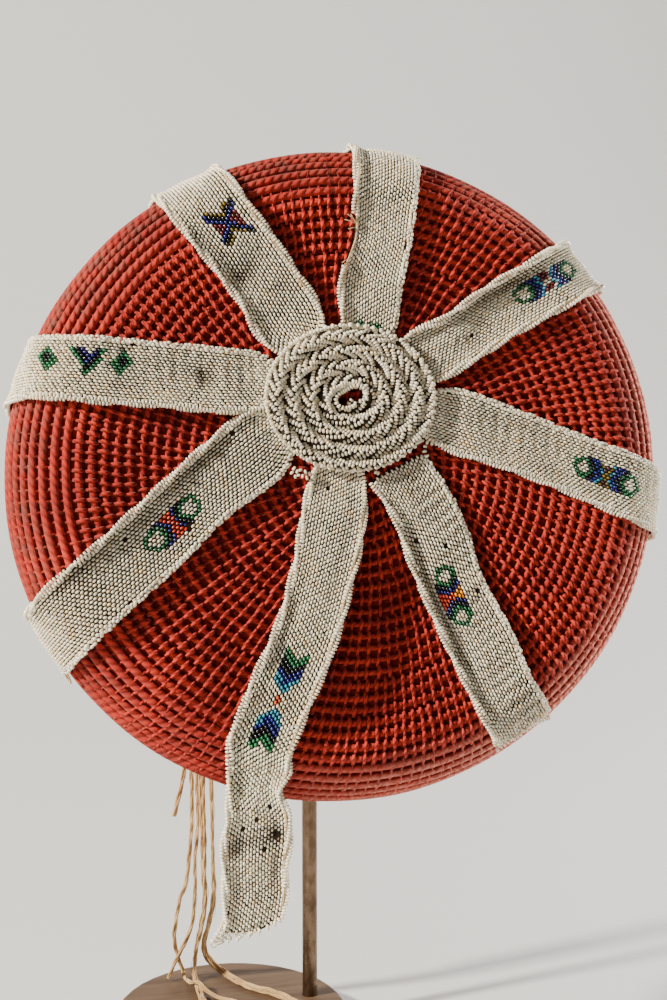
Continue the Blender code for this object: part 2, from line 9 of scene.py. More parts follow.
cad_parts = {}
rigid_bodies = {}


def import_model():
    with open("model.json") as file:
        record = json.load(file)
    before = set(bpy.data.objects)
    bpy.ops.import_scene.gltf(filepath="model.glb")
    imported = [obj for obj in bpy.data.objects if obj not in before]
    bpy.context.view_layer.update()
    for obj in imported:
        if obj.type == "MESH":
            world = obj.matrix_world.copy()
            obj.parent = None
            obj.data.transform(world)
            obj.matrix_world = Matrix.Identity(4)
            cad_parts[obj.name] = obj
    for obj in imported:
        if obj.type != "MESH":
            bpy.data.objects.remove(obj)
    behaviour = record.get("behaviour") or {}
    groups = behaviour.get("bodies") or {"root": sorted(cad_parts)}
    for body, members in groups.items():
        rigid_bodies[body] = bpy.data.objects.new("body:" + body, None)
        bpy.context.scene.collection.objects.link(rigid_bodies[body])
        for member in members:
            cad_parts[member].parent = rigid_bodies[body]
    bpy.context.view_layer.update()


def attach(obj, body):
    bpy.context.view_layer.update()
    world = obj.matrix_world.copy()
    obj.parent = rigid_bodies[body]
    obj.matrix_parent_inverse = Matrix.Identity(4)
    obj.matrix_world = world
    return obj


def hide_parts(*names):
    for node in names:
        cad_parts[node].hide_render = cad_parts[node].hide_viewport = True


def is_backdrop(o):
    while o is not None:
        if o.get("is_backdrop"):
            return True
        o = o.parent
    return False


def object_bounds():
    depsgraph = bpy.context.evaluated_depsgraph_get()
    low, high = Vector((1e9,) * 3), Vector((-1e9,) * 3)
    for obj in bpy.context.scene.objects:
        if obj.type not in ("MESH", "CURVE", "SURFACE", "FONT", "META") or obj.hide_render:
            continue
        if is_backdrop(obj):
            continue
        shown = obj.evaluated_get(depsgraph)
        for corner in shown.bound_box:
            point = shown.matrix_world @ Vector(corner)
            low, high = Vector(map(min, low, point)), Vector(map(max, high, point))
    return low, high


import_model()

dice = np.random.default_rng(11)  # every uneven thing below draws from this
fullTurn = 2 * math.pi


# Helpers for objects, materials and their nodes

def link(made):
    bpy.context.scene.collection.objects.link(made)
    return made


def linkMesh(name, points, faces, material):
    mesh = bpy.data.meshes.new(name)
    mesh.from_pydata(np.asarray(points, float).tolist(), [], [list(face) for face in faces])
    mesh.shade_smooth()
    mesh.materials.append(material)
    return link(bpy.data.objects.new(name, mesh))


def putNode(tree, kind, inputs=None, **settings):
    node = tree.nodes.new(kind)
    for key, value in settings.items():
        setattr(node, key, value)
    for key, value in (inputs or {}).items():
        if isinstance(value, bpy.types.NodeSocket):
            tree.links.new(value, node.inputs[key])
        else:
            node.inputs[key].default_value = value
    return node


def mathNode(tree, operation, one, two=0.0, clamp=False):
    return putNode(tree, "ShaderNodeMath", {0: one, 1: two}, operation=operation, use_clamp=clamp).outputs[0]


def mixColour(tree, factor, one, two, blend="MIX"):
    inputs = {0: factor, 6: one, 7: two}
    return putNode(tree, "ShaderNodeMix", inputs, data_type="RGBA", blend_type=blend).outputs[2]


def tintOver(tree, base, mask, share, tint):
    return mixColour(tree, mathNode(tree, "MULTIPLY", mask, share), base, tint)


def spread(tree, value, low, high, toLow=0.0, toHigh=1.0):
    return putNode(tree, "ShaderNodeMapRange", {0: value, 1: low, 2: high, 3: toLow, 4: toHigh}).outputs[0]


def cloudNode(tree, vector, scale, detail, low, high, toLow=0.0, toHigh=1.0, rough=0.55):
    # noise, with the stretch from low to high spread over the whole range
    inputs = {"Vector": vector, "Scale": scale, "Detail": detail, "Roughness": rough}
    noise = putNode(tree, "ShaderNodeTexNoise", inputs)
    return spread(tree, noise.outputs[0], low, high, toLow, toHigh)


def objectPlace(tree, stretch=None):
    place = putNode(tree, "ShaderNodeTexCoord").outputs["Object"]
    if stretch:
        place = putNode(tree, "ShaderNodeMapping", {"Vector": place, "Scale": stretch}).outputs[0]
    return place


def readAttribute(tree, name):
    return putNode(tree, "ShaderNodeAttribute", attribute_name=name)


def colour(red, green, blue):
    # from the 0 to 255 of a colour picker
    parts = [part / 255 for part in (red, green, blue)]
    return (*(part / 12.92 if part <= 0.04045 else ((part + 0.055) / 1.055) ** 2.4 for part in parts), 1.0)


def newFinish(name, rough, specular=0.5, sheen=0.0, metallic=0.0):
    material = bpy.data.materials.new(name)
    material.use_nodes = True
    shader = material.node_tree.nodes["Principled BSDF"]
    values = {"Roughness": rough, "Specular IOR Level": specular, "Sheen Weight": sheen,
              "Sheen Roughness": 0.5, "Metallic": metallic}
    for socket, value in values.items():
        shader.inputs[socket].default_value = value
    return material, material.node_tree, shader


def endFinish(tree, shader, base, height=None, strength=0.0, deep=0.0):
    # the colour goes into the shader, and so does the relief of a finish that has one
    tree.links.new(base, shader.inputs["Base Color"])
    if strength > 0:
        bump = putNode(tree, "ShaderNodeBump", {"Strength": strength, "Distance": deep, "Height": height})
        tree.links.new(bump.outputs[0], shader.inputs["Normal"])


# Camera and the room round the object

cameraView = {
    "place": (-0.1936, -1.1385, 0.5490), "turnDeg": -12.85, "dipDeg": 10.0,
    "lens": 70.0, "sensor": 36.0,  # the sensor's size goes with the long side of the picture
}

studio = {
    "paper": (0.52, 0.505, 0.485, 1.0), "paperRough": 0.9,
    "floorReach": 3.0, "wallAway": 1.6, "wallHigh": 3.2, "sweepRound": 0.9, "sweepSteps": 12,
    "air": (0.90, 0.93, 1.0, 1.0), "airLight": 0.12, "lookAt": (0.05, -0.08, 0.34),
    "lamps": {  # place, size, watts and colour
        "key_light": ((-2.43, -0.53, 1.80), 0.22, 270.0, (1.0, 0.95, 0.87)),
        "side_light": ((1.60, 0.12, 0.72), 0.4, 52.0, (1.0, 1.0, 1.0)),
        "fill_light": ((-1.00, -1.50, 0.25), 0.9, 8.0, (1.0, 1.0, 1.0)),
        "back_light": ((0.6, 1.5, 1.3), 1.4, 14.0, (1.0, 1.0, 1.0)),
    },
}


def makeCamera():
    lens = bpy.data.cameras.new("camera")
    lens.lens = cameraView["lens"]
    lens.sensor_width = cameraView["sensor"]
    camera = link(bpy.data.objects.new("camera", lens))
    camera.location = cameraView["place"]
    dip = math.radians(90.0 - cameraView["dipDeg"])
    camera.rotation_euler = (dip, 0.0, math.radians(cameraView["turnDeg"]))
    bpy.context.scene.camera = camera


def makeSweep():
    # the floor and the wall behind it, in one sheet of paper with a round bend
    side, away, bend = studio["floorReach"], studio["wallAway"], studio["sweepRound"]
    profile = [(-side, 0.0)]
    for i in range(studio["sweepSteps"] + 1):
        turn = math.radians(90) * i / studio["sweepSteps"]
        profile.append((away - bend + bend * math.sin(turn), bend * (1 - math.cos(turn))))
    profile.append((away, studio["wallHigh"]))
    points = [(x, y, z) for y, z in profile for x in (-side, side)]
    faces = [(2 * i, 2 * i + 1, 2 * i + 3, 2 * i + 2) for i in range(len(profile) - 1)]
    paper, _, shader = newFinish("studio paper", studio["paperRough"])
    shader.inputs["Base Color"].default_value = studio["paper"]
    linkMesh("studio_sweep", points, faces, paper)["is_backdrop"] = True


def makeLights():
    world = bpy.data.worlds.new("studio")
    world.use_nodes = True
    air = world.node_tree.nodes["Background"]
    air.inputs["Color"].default_value = studio["air"]
    air.inputs["Strength"].default_value = studio["airLight"]
    bpy.context.scene.world = world
    for name, (place, size, watts, tone) in studio["lamps"].items():
        lamp = bpy.data.lights.new(name, "AREA")
        lamp.shape = "DISK"
        lamp.size = size
        lamp.energy = watts
        lamp.color = tone
        light = link(bpy.data.objects.new(name, lamp))
        light.location = place
        toward = Vector(studio["lookAt"]) - Vector(place)
        light.rotation_euler = toward.to_track_quat("-Z", "Y").to_euler()


makeCamera()
makeSweep()
makeLights()
print("camera and studio are made")


# The fibre strands' thickness and routes, the same as in the part

strandRoutes = {
    "tie_cord_1": (0.0022, [
        (-0.02, 0.02, 0.3196), (-0.02, 0.0238, 0.3185), (-0.02, 0.0272, 0.3116),
        (-0.02, 0.0284, 0.2956), (-0.0192, 0.0288, 0.23), (-0.0188, 0.029, 0.1666),
        (-0.0195, 0.03, 0.1334), (-0.0207, 0.031, 0.1112), (-0.0227, 0.033, 0.0939),
        (-0.0268, 0.0355, 0.0811), (-0.0292, 0.039, 0.0644), (-0.0294, 0.043, 0.0512),
        (-0.0266, 0.049, 0.0371), (-0.0238, 0.0512, 0.0272), (-0.0226, 0.048, 0.0226),
        (-0.0212, 0.042, 0.0219), (-0.0196, 0.035, 0.024), (-0.0165, 0.028, 0.0267),
        (-0.0122, 0.0215, 0.024), (-0.0068, 0.0155, 0.0216), (0.0003, 0.0088, 0.0214),
        (0.009, 0.001, 0.0214), (0.019, -0.006, 0.0214)
    ]),
    "tie_cord_2": (0.0020, [
        (-0.0159, 0.0173, 0.3106), (-0.0159, 0.0212, 0.3095), (-0.0159, 0.0245, 0.3026),
        (-0.0159, 0.0257, 0.2866), (-0.0162, 0.0262, 0.23), (-0.016, 0.027, 0.1671),
        (-0.0158, 0.0276, 0.1338), (-0.0178, 0.028, 0.11), (-0.0172, 0.0312, 0.09),
        (-0.019, 0.036, 0.0642), (-0.0241, 0.0405, 0.0473), (-0.0288, 0.045, 0.035),
        (-0.0315, 0.0478, 0.0268), (-0.033, 0.0485, 0.0222)
    ]),
    "tie_cord_3": (0.0040, [
        (-0.0115, 0.0152, 0.3034), (-0.0115, 0.0191, 0.3023), (-0.0115, 0.0224, 0.2954),
        (-0.0115, 0.0236, 0.2794), (-0.0126, 0.0238, 0.23), (-0.0134, 0.0236, 0.1679),
        (-0.013, 0.0236, 0.1344), (-0.0126, 0.0262, 0.1006), (-0.0112, 0.03, 0.0821),
        (-0.0128, 0.035, 0.0636), (-0.0154, 0.042, 0.0454), (-0.0158, 0.047, 0.033),
        (-0.016, 0.047, 0.0262), (-0.0162, 0.041, 0.0226), (-0.0164, 0.032, 0.0223),
        (-0.0166, 0.019, 0.0223), (-0.0164, 0.006, 0.0223), (-0.015, -0.006, 0.0223)
    ]),
    "tie_cord_4": (0.0040, [
        (-0.0045, 0.0126, 0.2944), (-0.0045, 0.0165, 0.2933), (-0.0045, 0.0198, 0.2864),
        (-0.0045, 0.021, 0.2704), (-0.0065, 0.021, 0.225), (-0.008, 0.0206, 0.1646),
        (-0.0075, 0.021, 0.1349), (-0.0068, 0.024, 0.1067), (-0.0058, 0.03, 0.083),
        (-0.0075, 0.037, 0.0636), (-0.01, 0.044, 0.047), (-0.0085, 0.0495, 0.037),
        (-0.004, 0.053, 0.0285), (0.0025, 0.0505, 0.0232), (0.0095, 0.0367, 0.0223),
        (0.0179, 0.0229, 0.0223), (0.0297, 0.0109, 0.0223), (0.038, -0.001, 0.0223),
        (0.044, -0.013, 0.0223)
    ]),
    "tie_cord_5": (0.0024, [
        (-0.0235, 0.0235, 0.3317), (-0.0235, 0.0273, 0.3306), (-0.0235, 0.0307, 0.3237),
        (-0.0235, 0.0319, 0.3077), (-0.0234, 0.032, 0.25), (-0.0228, 0.0318, 0.19),
        (-0.0236, 0.0314, 0.1675), (-0.0258, 0.031, 0.1556), (-0.0302, 0.0305, 0.1386)
    ]),
}


# Finishes

def makeTwistGroup():
    # the lay of the plies of a twisted cord, from how far round and how far along it a point is
    group = bpy.data.node_groups.new("cord twist", "ShaderNodeTree")
    group.interface.new_socket("Round", in_out="INPUT", socket_type="NodeSocketVector")
    for name in ("Plies", "Turns Per Metre", "Fibre Scale"):
        group.interface.new_socket(name, in_out="INPUT", socket_type="NodeSocketFloat")
    for name in ("Height", "Groove"):
        group.interface.new_socket(name, in_out="OUTPUT", socket_type="NodeSocketFloat")
    given = group.nodes.new("NodeGroupInput").outputs
    parts = putNode(group, "ShaderNodeSeparateXYZ", {0: given["Round"]}).outputs
    turn = mathNode(group, "MULTIPLY", mathNode(group, "ARCTAN2", parts[1], parts[0]), given["Plies"])
    along = mathNode(group, "MULTIPLY", parts[2], given["Turns Per Metre"])
    along = mathNode(group, "MULTIPLY", along, fullTurn)
    wave = mathNode(group, "SINE", mathNode(group, "ADD", turn, along))
    ply = mathNode(group, "POWER", spread(group, wave, -1.0, 1.0), 0.55)
    grain = cloudNode(group, objectPlace(group), given["Fibre Scale"], 2.0, 0.0, 1.0, 0.0, 0.45)
    height = mathNode(group, "ADD", ply, grain)
    groove = mathNode(group, "SUBTRACT", 1.0, ply, clamp=True)
    putNode(group, "NodeGroupOutput", {"Height": height, "Groove": groove})
    return group


twistGroup = makeTwistGroup()


def useTwist(tree, plies, turns, fibre):
    # how far round the cord a point is, and the height and groove of the plies there
    around = readAttribute(tree, "around").outputs["Vector"]
    inputs = {"Round": around, "Plies": plies, "Turns Per Metre": turns, "Fibre Scale": fibre}
    twist = putNode(tree, "ShaderNodeGroup", inputs, node_tree=twistGroup)
    return around, twist.outputs["Height"], twist.outputs["Groove"]


def makeRedCord():
    # the groove colour is painted shade, for the grooves between plies and the valleys between rows; the pale
    # pink one is a painted highlight for the rim's crests
    look = {"bright": colour(192, 50, 34), "deep": colour(134, 24, 18), "groove": colour(70, 8, 8),
            "dirt": colour(108, 66, 54), "paintedHighlight": colour(246, 160, 138), "sheen": colour(255, 190, 170),
            "plies": 2.0, "turns": 190.0, "fibre": 1500.0, "paintedValleyShade": 0.75}
    material, tree, shader = newFinish("red ochre cord", 0.9, 0.2, 0.10)
    shader.inputs["Sheen Tint"].default_value = look["sheen"]
    place = objectPlace(tree)
    around, height, groove = useTwist(tree, look["plies"], look["turns"], look["fibre"])
    dirtAndHighlight = putNode(tree, "ShaderNodeSeparateColor", {0: readAttribute(tree, "dirtAndHighlight").outputs["Color"]}).outputs
    base = mixColour(tree, cloudNode(tree, place, 26.0, 4.0, 0.35, 0.68), look["bright"], look["deep"])
    base = tintOver(tree, base, cloudNode(tree, place, 420.0, 2.0, 0.35, 0.75), 0.35, look["bright"])
    # painted shade in the grooves between the plies
    base = tintOver(tree, base, groove, 0.55, look["groove"])
    base = tintOver(tree, base, cloudNode(tree, place, 110.0, 4.0, 0.36, 0.74), dirtAndHighlight[0], look["dirt"])
    # painted shade: the cord's sides and underside, down in the valleys between the rows, drawn towards the
    # dark groove colour
    facing = putNode(tree, "ShaderNodeSeparateXYZ", {0: around}).outputs[0]
    base = mixColour(tree, spread(tree, facing, -0.9, 0.5, look["paintedValleyShade"], 0.0), base, look["groove"])
    # painted highlight: pale pink on the crests of the rim's outer rows towards the right, where the side
    # light grazes them
    crestHighlight = cloudNode(tree, place, 520.0, 3.0, 0.26, 0.64)
    crestHighlight = mathNode(tree, "MULTIPLY", crestHighlight, spread(tree, facing, 0.35, 0.95))
    base = tintOver(tree, base, crestHighlight, dirtAndHighlight[1], look["paintedHighlight"])
    endFinish(tree, shader, base, height, 0.8, 0.0009)
    return material


def makeGrained(name, rough, specular, scale, detail, low, one, two, strength=0.0, deep=0.0, tinge=None):
    # two tones in a fine grain, with a third in large clouds over them where it has a tinge
    material, tree, shader = newFinish(name, rough, specular)
    place = objectPlace(tree)
    grain = cloudNode(tree, place, scale, detail, low, 1.0 - low)
    base = mixColour(tree, grain, one, two)
    if tinge:
        base = tintOver(tree, base, cloudNode(tree, place, 18.0, 3.0, 0.42, 0.62), 0.7, tinge)
    endFinish(tree, shader, base, grain, strength, deep)
    return material


def makeBeadGlass():
    material, tree, shader = newFinish("seed bead glass", 0.26)
    shader.inputs["Coat Weight"].default_value = 0.35
    shader.inputs["Coat Roughness"].default_value = 0.12
    cloud = cloudNode(tree, objectPlace(tree), 900.0, 2.0, 0.3, 0.7, 0.86, 1.06)
    shade = putNode(tree, "ShaderNodeCombineColor", {0: cloud, 1: cloud, 2: cloud}).outputs[0]
    tint = readAttribute(tree, "tint").outputs["Color"]
    endFinish(tree, shader, mixColour(tree, 1.0, tint, shade, "MULTIPLY"))
    return material


def makeFibre():
    # the groove colour is painted shade for the grooves between the plies
    look = {"light": colour(208, 171, 112), "dark": colour(160, 120, 69), "groove": colour(104, 70, 44),
            "red": colour(176, 98, 66), "redFrom": 0.12, "redTo": 0.30, "plies": 3.0, "turns": 160.0,
            "fibre": 2200.0}
    material, tree, shader = newFinish("plant fibre", 0.82, 0.3, 0.15)
    place = objectPlace(tree)
    _, height, groove = useTwist(tree, look["plies"], look["turns"], look["fibre"])
    base = mixColour(tree, cloudNode(tree, place, 70.0, 4.0, 0.35, 0.65), look["light"], look["dark"])
    # painted shade in the grooves between the plies
    base = tintOver(tree, base, groove, 0.5, look["groove"])
    upward = putNode(tree, "ShaderNodeSeparateXYZ", {0: place}).outputs[2]
    base = tintOver(tree, base, spread(tree, upward, look["redFrom"], look["redTo"]), 0.55, look["red"])
    endFinish(tree, shader, base, height, 0.8, 0.0003)
    return material


def makeSteel():
    look = {"bare": colour(124, 104, 84), "patina": colour(98, 78, 59), "dark": colour(66, 47, 33)}
    material, tree, shader = newFinish("brown patina steel", 0.34, 0.5, 0.0, 1.0)
    streak = cloudNode(tree, objectPlace(tree, (260.0, 260.0, 130.0)), 1.0, 4.0, 0.35, 0.65)
    cloud = cloudNode(tree, objectPlace(tree), 90.0, 5.0, 0.42, 0.68)
    base = mixColour(tree, streak, look["patina"], look["bare"])
    tree.links.new(spread(tree, cloud, 0.0, 1.0, 0.24, 0.46), shader.inputs["Roughness"])
    endFinish(tree, shader, tintOver(tree, base, cloud, 0.50, look["dark"]), streak, 0.12, 0.0002)
    return material


def makeWood():
    look = {"light": colour(94, 70, 46), "dark": colour(68, 49, 32), "line": colour(42, 30, 21)}
    material, tree, shader = newFinish("stained wood", 0.62, 0.35)
    grain = cloudNode(tree, objectPlace(tree, (9.0, 120.0, 60.0)), 1.0, 5.0, 0.32, 0.68, rough=0.65)
    pore = cloudNode(tree, objectPlace(tree, (60.0, 900.0, 300.0)), 1.0, 2.0, 0.58, 0.72)
    cloud = cloudNode(tree, objectPlace(tree), 14.0, 3.0, 0.35, 0.65)
    base = mixColour(tree, grain, look["light"], look["dark"])
    base = tintOver(tree, base, pore, 0.7, look["line"])
    base = tintOver(tree, base, cloud, 0.35, look["dark"])
    tree.links.new(spread(tree, grain, 0.0, 1.0, 0.52, 0.70), shader.inputs["Roughness"])
    endFinish(tree, shader, base, grain, 0.3, 0.0004)
    return material


redCord = makeRedCord()
hatDeep = makeGrained("deep maroon fibre", 0.95, 0.1, 300.0, 3.0, 0.30, colour(98, 18, 11),
                      colour(150, 36, 23), 0.6, 0.0008)
hatInside = makeGrained("brown basket lining", 0.9, 0.2, 180.0, 4.0, 0.30, colour(74, 42, 24),
                        colour(150, 104, 62), 0.7, 0.0008, colour(120, 44, 28))
beadGlass = makeBeadGlass()
# the thread's own dark brown, drawn darker still as painted shade in the gaps between beads, on the strips
# and the rosette's core
threadWithGapShade = makeGrained("brown bead thread with gap shade", 0.9, 0.2, 520.0, 3.0, 0.32, colour(24, 18, 14),
                         colour(58, 46, 33), 0.6, 0.0004)
plantFibre = makeFibre()
sewingThread = makeGrained("tan sewing thread", 0.85, 0.25, 700.0, 2.0, 0.35, colour(206, 180, 138),
                           colour(160, 128, 88))
patinaSteel = makeSteel()
stainedWood = makeWood()
print("finishes are made")


# The hat's form

hatForm = {
    "rimRadius": 0.1889, "rimRound": 0.034, "rimTurnDeg": 150.0, "topDish": 0.004,
    "depth": 0.125, "openingRadius": 0.086, "wall": 0.005, "flarePull": 0.045, "neckPull": 0.028,
    "oval": 0.0157, "ovalDeg": 60.6, "offsetAcross": -0.0030, "offsetUp": -0.0023,  # the uneven rim
    "roundRadius": 0.050, "roundHeight": 0.080,
    "place": (0.0585, -0.0924, 0.382), "tiltDeg": 16.2,
}
tilt = math.radians(hatForm["tiltDeg"])
flatRadius = hatForm["rimRadius"] - hatForm["rimRound"]
outlineSteps = 160  # points for each of the outline's three stretches


def makeOutline():
    # the top, the round of the rim and the side behind it, from the middle outward
    points = []
    for i in range(outlineSteps):
        share = i / outlineSteps
        points.append((flatRadius * share, -hatForm["topDish"] * (1 - share**2)))
    rounding = hatForm["rimRound"]
    for i in range(outlineSteps + 1):
        turn = math.radians(90.0 - hatForm["rimTurnDeg"] * i / outlineSteps)
        points.append((flatRadius + rounding * math.cos(turn), rounding * (math.sin(turn) - 1)))
    start = Vector(points[-1])
    first = start + Vector((math.sin(turn), -math.cos(turn))) * hatForm["flarePull"]
    end = Vector((hatForm["openingRadius"], -hatForm["depth"]))
    last = end + Vector((0.0, hatForm["neckPull"]))
    for i in range(1, outlineSteps + 1):
        t = i / outlineSteps
        spot = start * (1 - t)**3 + first * 3 * t * (1 - t)**2 + last * 3 * t * t * (1 - t) + end * t**3
        points.append(tuple(spot))
    return np.array(points)


outline = makeOutline()
outlineLength = np.concatenate([[0.0], np.cumsum(np.hypot(*np.diff(outline, axis=0).T))])
outlineSlope = np.gradient(outline, outlineLength, axis=0)
rimArc = float(outlineLength[outlineSteps]) + hatForm["rimRound"] * math.pi / 2  # to the rim's widest line
fullLength = float(outlineLength[-1])


def outlineAt(length, height):
    # radius and height of a spot over the outline, and the outline's own radius there
    r, w = (np.interp(length, outlineLength, part) for part in outline.T)
    alongR, alongW = (np.interp(length, outlineLength, part) for part in outlineSlope.T)
    size = np.hypot(alongR, alongW)
    return r - alongW / size * height, w + alongR / size * height, r


def smoothStep(value, low, high):
    t = np.clip((value - low) / (high - low), 0.0, 1.0)
    return t * t * (3 - 2 * t)


def hatPoints(u, v, w):
    # places along the hat's own axes, in the world, carried along by the uneven rim
    x0, y0, z0 = hatForm["place"]
    share = smoothStep(np.hypot(u, v), hatForm["roundRadius"], hatForm["rimRadius"])
    share = share * smoothStep(w, -hatForm["depth"], hatForm["roundHeight"] - hatForm["depth"])
    swell = 1.0 + share * hatForm["oval"] * np.cos(2 * (np.arctan2(u, v) - math.radians(hatForm["ovalDeg"])))
    u = u * swell + share * hatForm["offsetAcross"]
    v = v * swell + share * hatForm["offsetUp"]
    y = v * math.sin(tilt) - w * math.cos(tilt)
    z = v * math.cos(tilt) + w * math.sin(tilt)
    return np.stack([x0 + u, y0 + y, z0 + z], axis=-1)


def ringPoints(length, turn, height):
    r, w, _ = outlineAt(length, height)
    return hatPoints(r * np.sin(turn), r * np.cos(turn), w)


def skinPoints(across, up, height):
    # places over the hat's skin, with the skin unrolled flat round the middle of its top
    return ringPoints(np.hypot(across, up), np.arctan2(across, up), height)


def spreadAt(reach):
    # how much wider the unrolled skin is there than the hat
    return reach / np.maximum(outlineAt(reach, 0.0)[2], 1e-4)


def unit(vectors):
    return vectors / np.maximum(np.linalg.norm(vectors, axis=-1, keepdims=True), 1e-12)


# Geometry node trees for what repeats

def newTree(name, sizes):
    tree = bpy.data.node_groups.new(name, "GeometryNodeTree")
    tree.interface.new_socket("Geometry", in_out="INPUT", socket_type="NodeSocketGeometry")
    keys = {}
    for label, kind in sizes.items():
        socket = tree.interface.new_socket(label, in_out="INPUT", socket_type="NodeSocket" + kind)
        keys[label] = socket.identifier
    tree.interface.new_socket("Geometry", in_out="OUTPUT", socket_type="NodeSocketGeometry")
    return tree, tree.nodes.new("NodeGroupInput").outputs, keys


def endTree(tree, geometry, finish):
    real = putNode(tree, "GeometryNodeRealizeInstances", {"Geometry": geometry}).outputs[0]
    done = putNode(tree, "GeometryNodeSetMaterial", {"Geometry": real, "Material": finish}).outputs[0]
    putNode(tree, "NodeGroupOutput", {"Geometry": done})


def readValue(tree, name, kind="FLOAT"):
    node = putNode(tree, "GeometryNodeInputNamedAttribute", {"Name": name}, data_type=kind)
    return node.outputs["Attribute"]


def storeValue(tree, geometry, name, value, kind="FLOAT"):
    inputs = {"Geometry": geometry, "Name": name, "Value": value}
    return putNode(tree, "GeometryNodeStoreNamedAttribute", inputs, data_type=kind, domain="POINT").outputs[0]


def makeScatterTree():
    # one small shape set on every point, turned and sized by what the point carries
    tree, given, keys = newTree("scatter shapes", {
        "Shape": "Object", "Size": "Float", "Uneven": "Float", "Seed": "Int", "Finish": "Material"})
    shape = putNode(tree, "GeometryNodeObjectInfo", {"Object": given["Shape"]})
    low = mathNode(tree, "SUBTRACT", 1.0, given["Uneven"])
    high = mathNode(tree, "ADD", 1.0, given["Uneven"])
    inputs = {2: low, 3: high, "Seed": given["Seed"]}
    vary = putNode(tree, "FunctionNodeRandomValue", inputs, data_type="FLOAT")
    factor = mathNode(tree, "MULTIPLY", vary.outputs[1], given["Size"])
    inputs = {0: readValue(tree, "size", "FLOAT_VECTOR"), "Scale": factor}
    scaled = putNode(tree, "ShaderNodeVectorMath", inputs, operation="SCALE")
    placed = putNode(tree, "GeometryNodeInstanceOnPoints", {
        "Points": given["Geometry"], "Instance": shape.outputs["Geometry"],
        "Rotation": readValue(tree, "turn", "QUATERNION"), "Scale": scaled.outputs[0]})
    endTree(tree, placed.outputs[0], given["Finish"])
    return tree, keys


def makeCordTree():
    # a round cord along every line, as thick as the line's points say, its seam to the inside
    sizes = {"Thickness": "Float", "Sides": "Int", "Finish": "Material"}
    tree, given, keys = newTree("cords on lines", sizes)
    line = putNode(tree, "GeometryNodeMeshToCurve", {"Mesh": given["Geometry"]}).outputs[0]
    inputs = {"Curve": line, "Normal": readValue(tree, "facing", "FLOAT_VECTOR")}
    line = putNode(tree, "GeometryNodeSetCurveNormal", inputs, mode="FREE").outputs[0]
    line = storeValue(tree, line, "along", putNode(tree, "GeometryNodeSplineParameter").outputs["Length"])
    ring = putNode(tree, "GeometryNodeCurvePrimitiveCircle", {"Resolution": given["Sides"], "Radius": 1.0})
    spot = putNode(tree, "GeometryNodeInputPosition").outputs[0]
    ring = storeValue(tree, ring.outputs[0], "ringSpot", spot, "FLOAT_VECTOR")
    radius = mathNode(tree, "MULTIPLY", readValue(tree, "thick"), given["Thickness"])
    inputs = {"Curve": line, "Profile Curve": ring, "Scale": radius, "Fill Caps": True}
    tube = putNode(tree, "GeometryNodeCurveToMesh", inputs).outputs[0]
    parts = putNode(tree, "ShaderNodeSeparateXYZ", {0: readValue(tree, "ringSpot", "FLOAT_VECTOR")}).outputs
    around = putNode(tree, "ShaderNodeCombineXYZ", {0: parts[0], 1: parts[1], 2: readValue(tree, "along")})
    tube = storeValue(tree, tube, "around", around.outputs[0], "FLOAT_VECTOR")
    endTree(tree, putNode(tree, "GeometryNodeSetShadeSmooth", {"Geometry": tube}).outputs[0], given["Finish"])
    return tree, keys


def carry(mesh, name, kind, values):
    field = {"FLOAT": "value", "QUATERNION": "value", "FLOAT_VECTOR": "vector", "FLOAT_COLOR": "color"}[kind]
    made = mesh.attributes.new(name, kind, "POINT")
    made.data.foreach_set(field, np.ascontiguousarray(values, dtype=np.float32).ravel())


def growPiece(name, points, edges, carried, treeAndKeys, settings):
    # the tree runs once on a bare object, and its result is kept as a plain mesh
    tree, keys = treeAndKeys
    bareMesh = bpy.data.meshes.new(name + " points")
    bareMesh.from_pydata(points.tolist(), edges, [])
    for label, kind, values in carried:
        carry(bareMesh, label, kind, values)
    bare = link(bpy.data.objects.new(name + " points", bareMesh))
    modifier = bare.modifiers.new("grow", "NODES")
    modifier.node_group = tree
    for label, value in settings.items():
        modifier[keys[label]] = value
    bpy.context.view_layer.update()
    graph = bpy.context.evaluated_depsgraph_get()
    mesh = bpy.data.meshes.new_from_object(bare.evaluated_get(graph))
    mesh.name = name
    for label in ("thick", "facing", "along", "ringSpot", "turn", "size"):
        if label in mesh.attributes:
            mesh.attributes.remove(mesh.attributes[label])
    made = link(bpy.data.objects.new(name, mesh))
    bare.modifiers.clear()
    bpy.data.objects.remove(bare)
    return made


scatterTree = makeScatterTree()
cordTree = makeCordTree()


def growCords(name, lines, sides, finish, closed=False):
    # cords along lines of points, each with its thickness, outward direction and, where it has one, dirt and
    # painted highlight
    edges, first = [], 0
    for line in lines:
        count = len(line[0])
        edges += [(first + k, first + (k + 1) % count) for k in range(count if closed else count - 1)]
        first += count
    points, *values = (np.concatenate(part) for part in zip(*lines))
    kinds = (("thick", "FLOAT"), ("facing", "FLOAT_VECTOR"), ("dirtAndHighlight", "FLOAT_COLOR"))
    carried = [(label, kind, part) for (label, kind), part in zip(kinds, values)]
    settings = {"Thickness": 1.0, "Sides": sides, "Finish": finish}
    return growPiece(name, points, edges, carried, cordTree, settings)


def turnsOf(xAxis, zAxis):
    # a turn for each point whose X and Z lie along the two directions given
    x = unit(xAxis)
    z = unit(zAxis - x * np.sum(x * zAxis, axis=1, keepdims=True))
    y = np.cross(z, x)
    turns = np.empty((len(x), 4))
    for i in range(len(x)):
        turns[i] = Matrix((x[i], y[i], z[i])).transposed().to_quaternion()
    return turns


def numberRings(count, size, first=0):
    return [list(range(first + j * size, first + (j + 1) * size)) for j in range(count)]


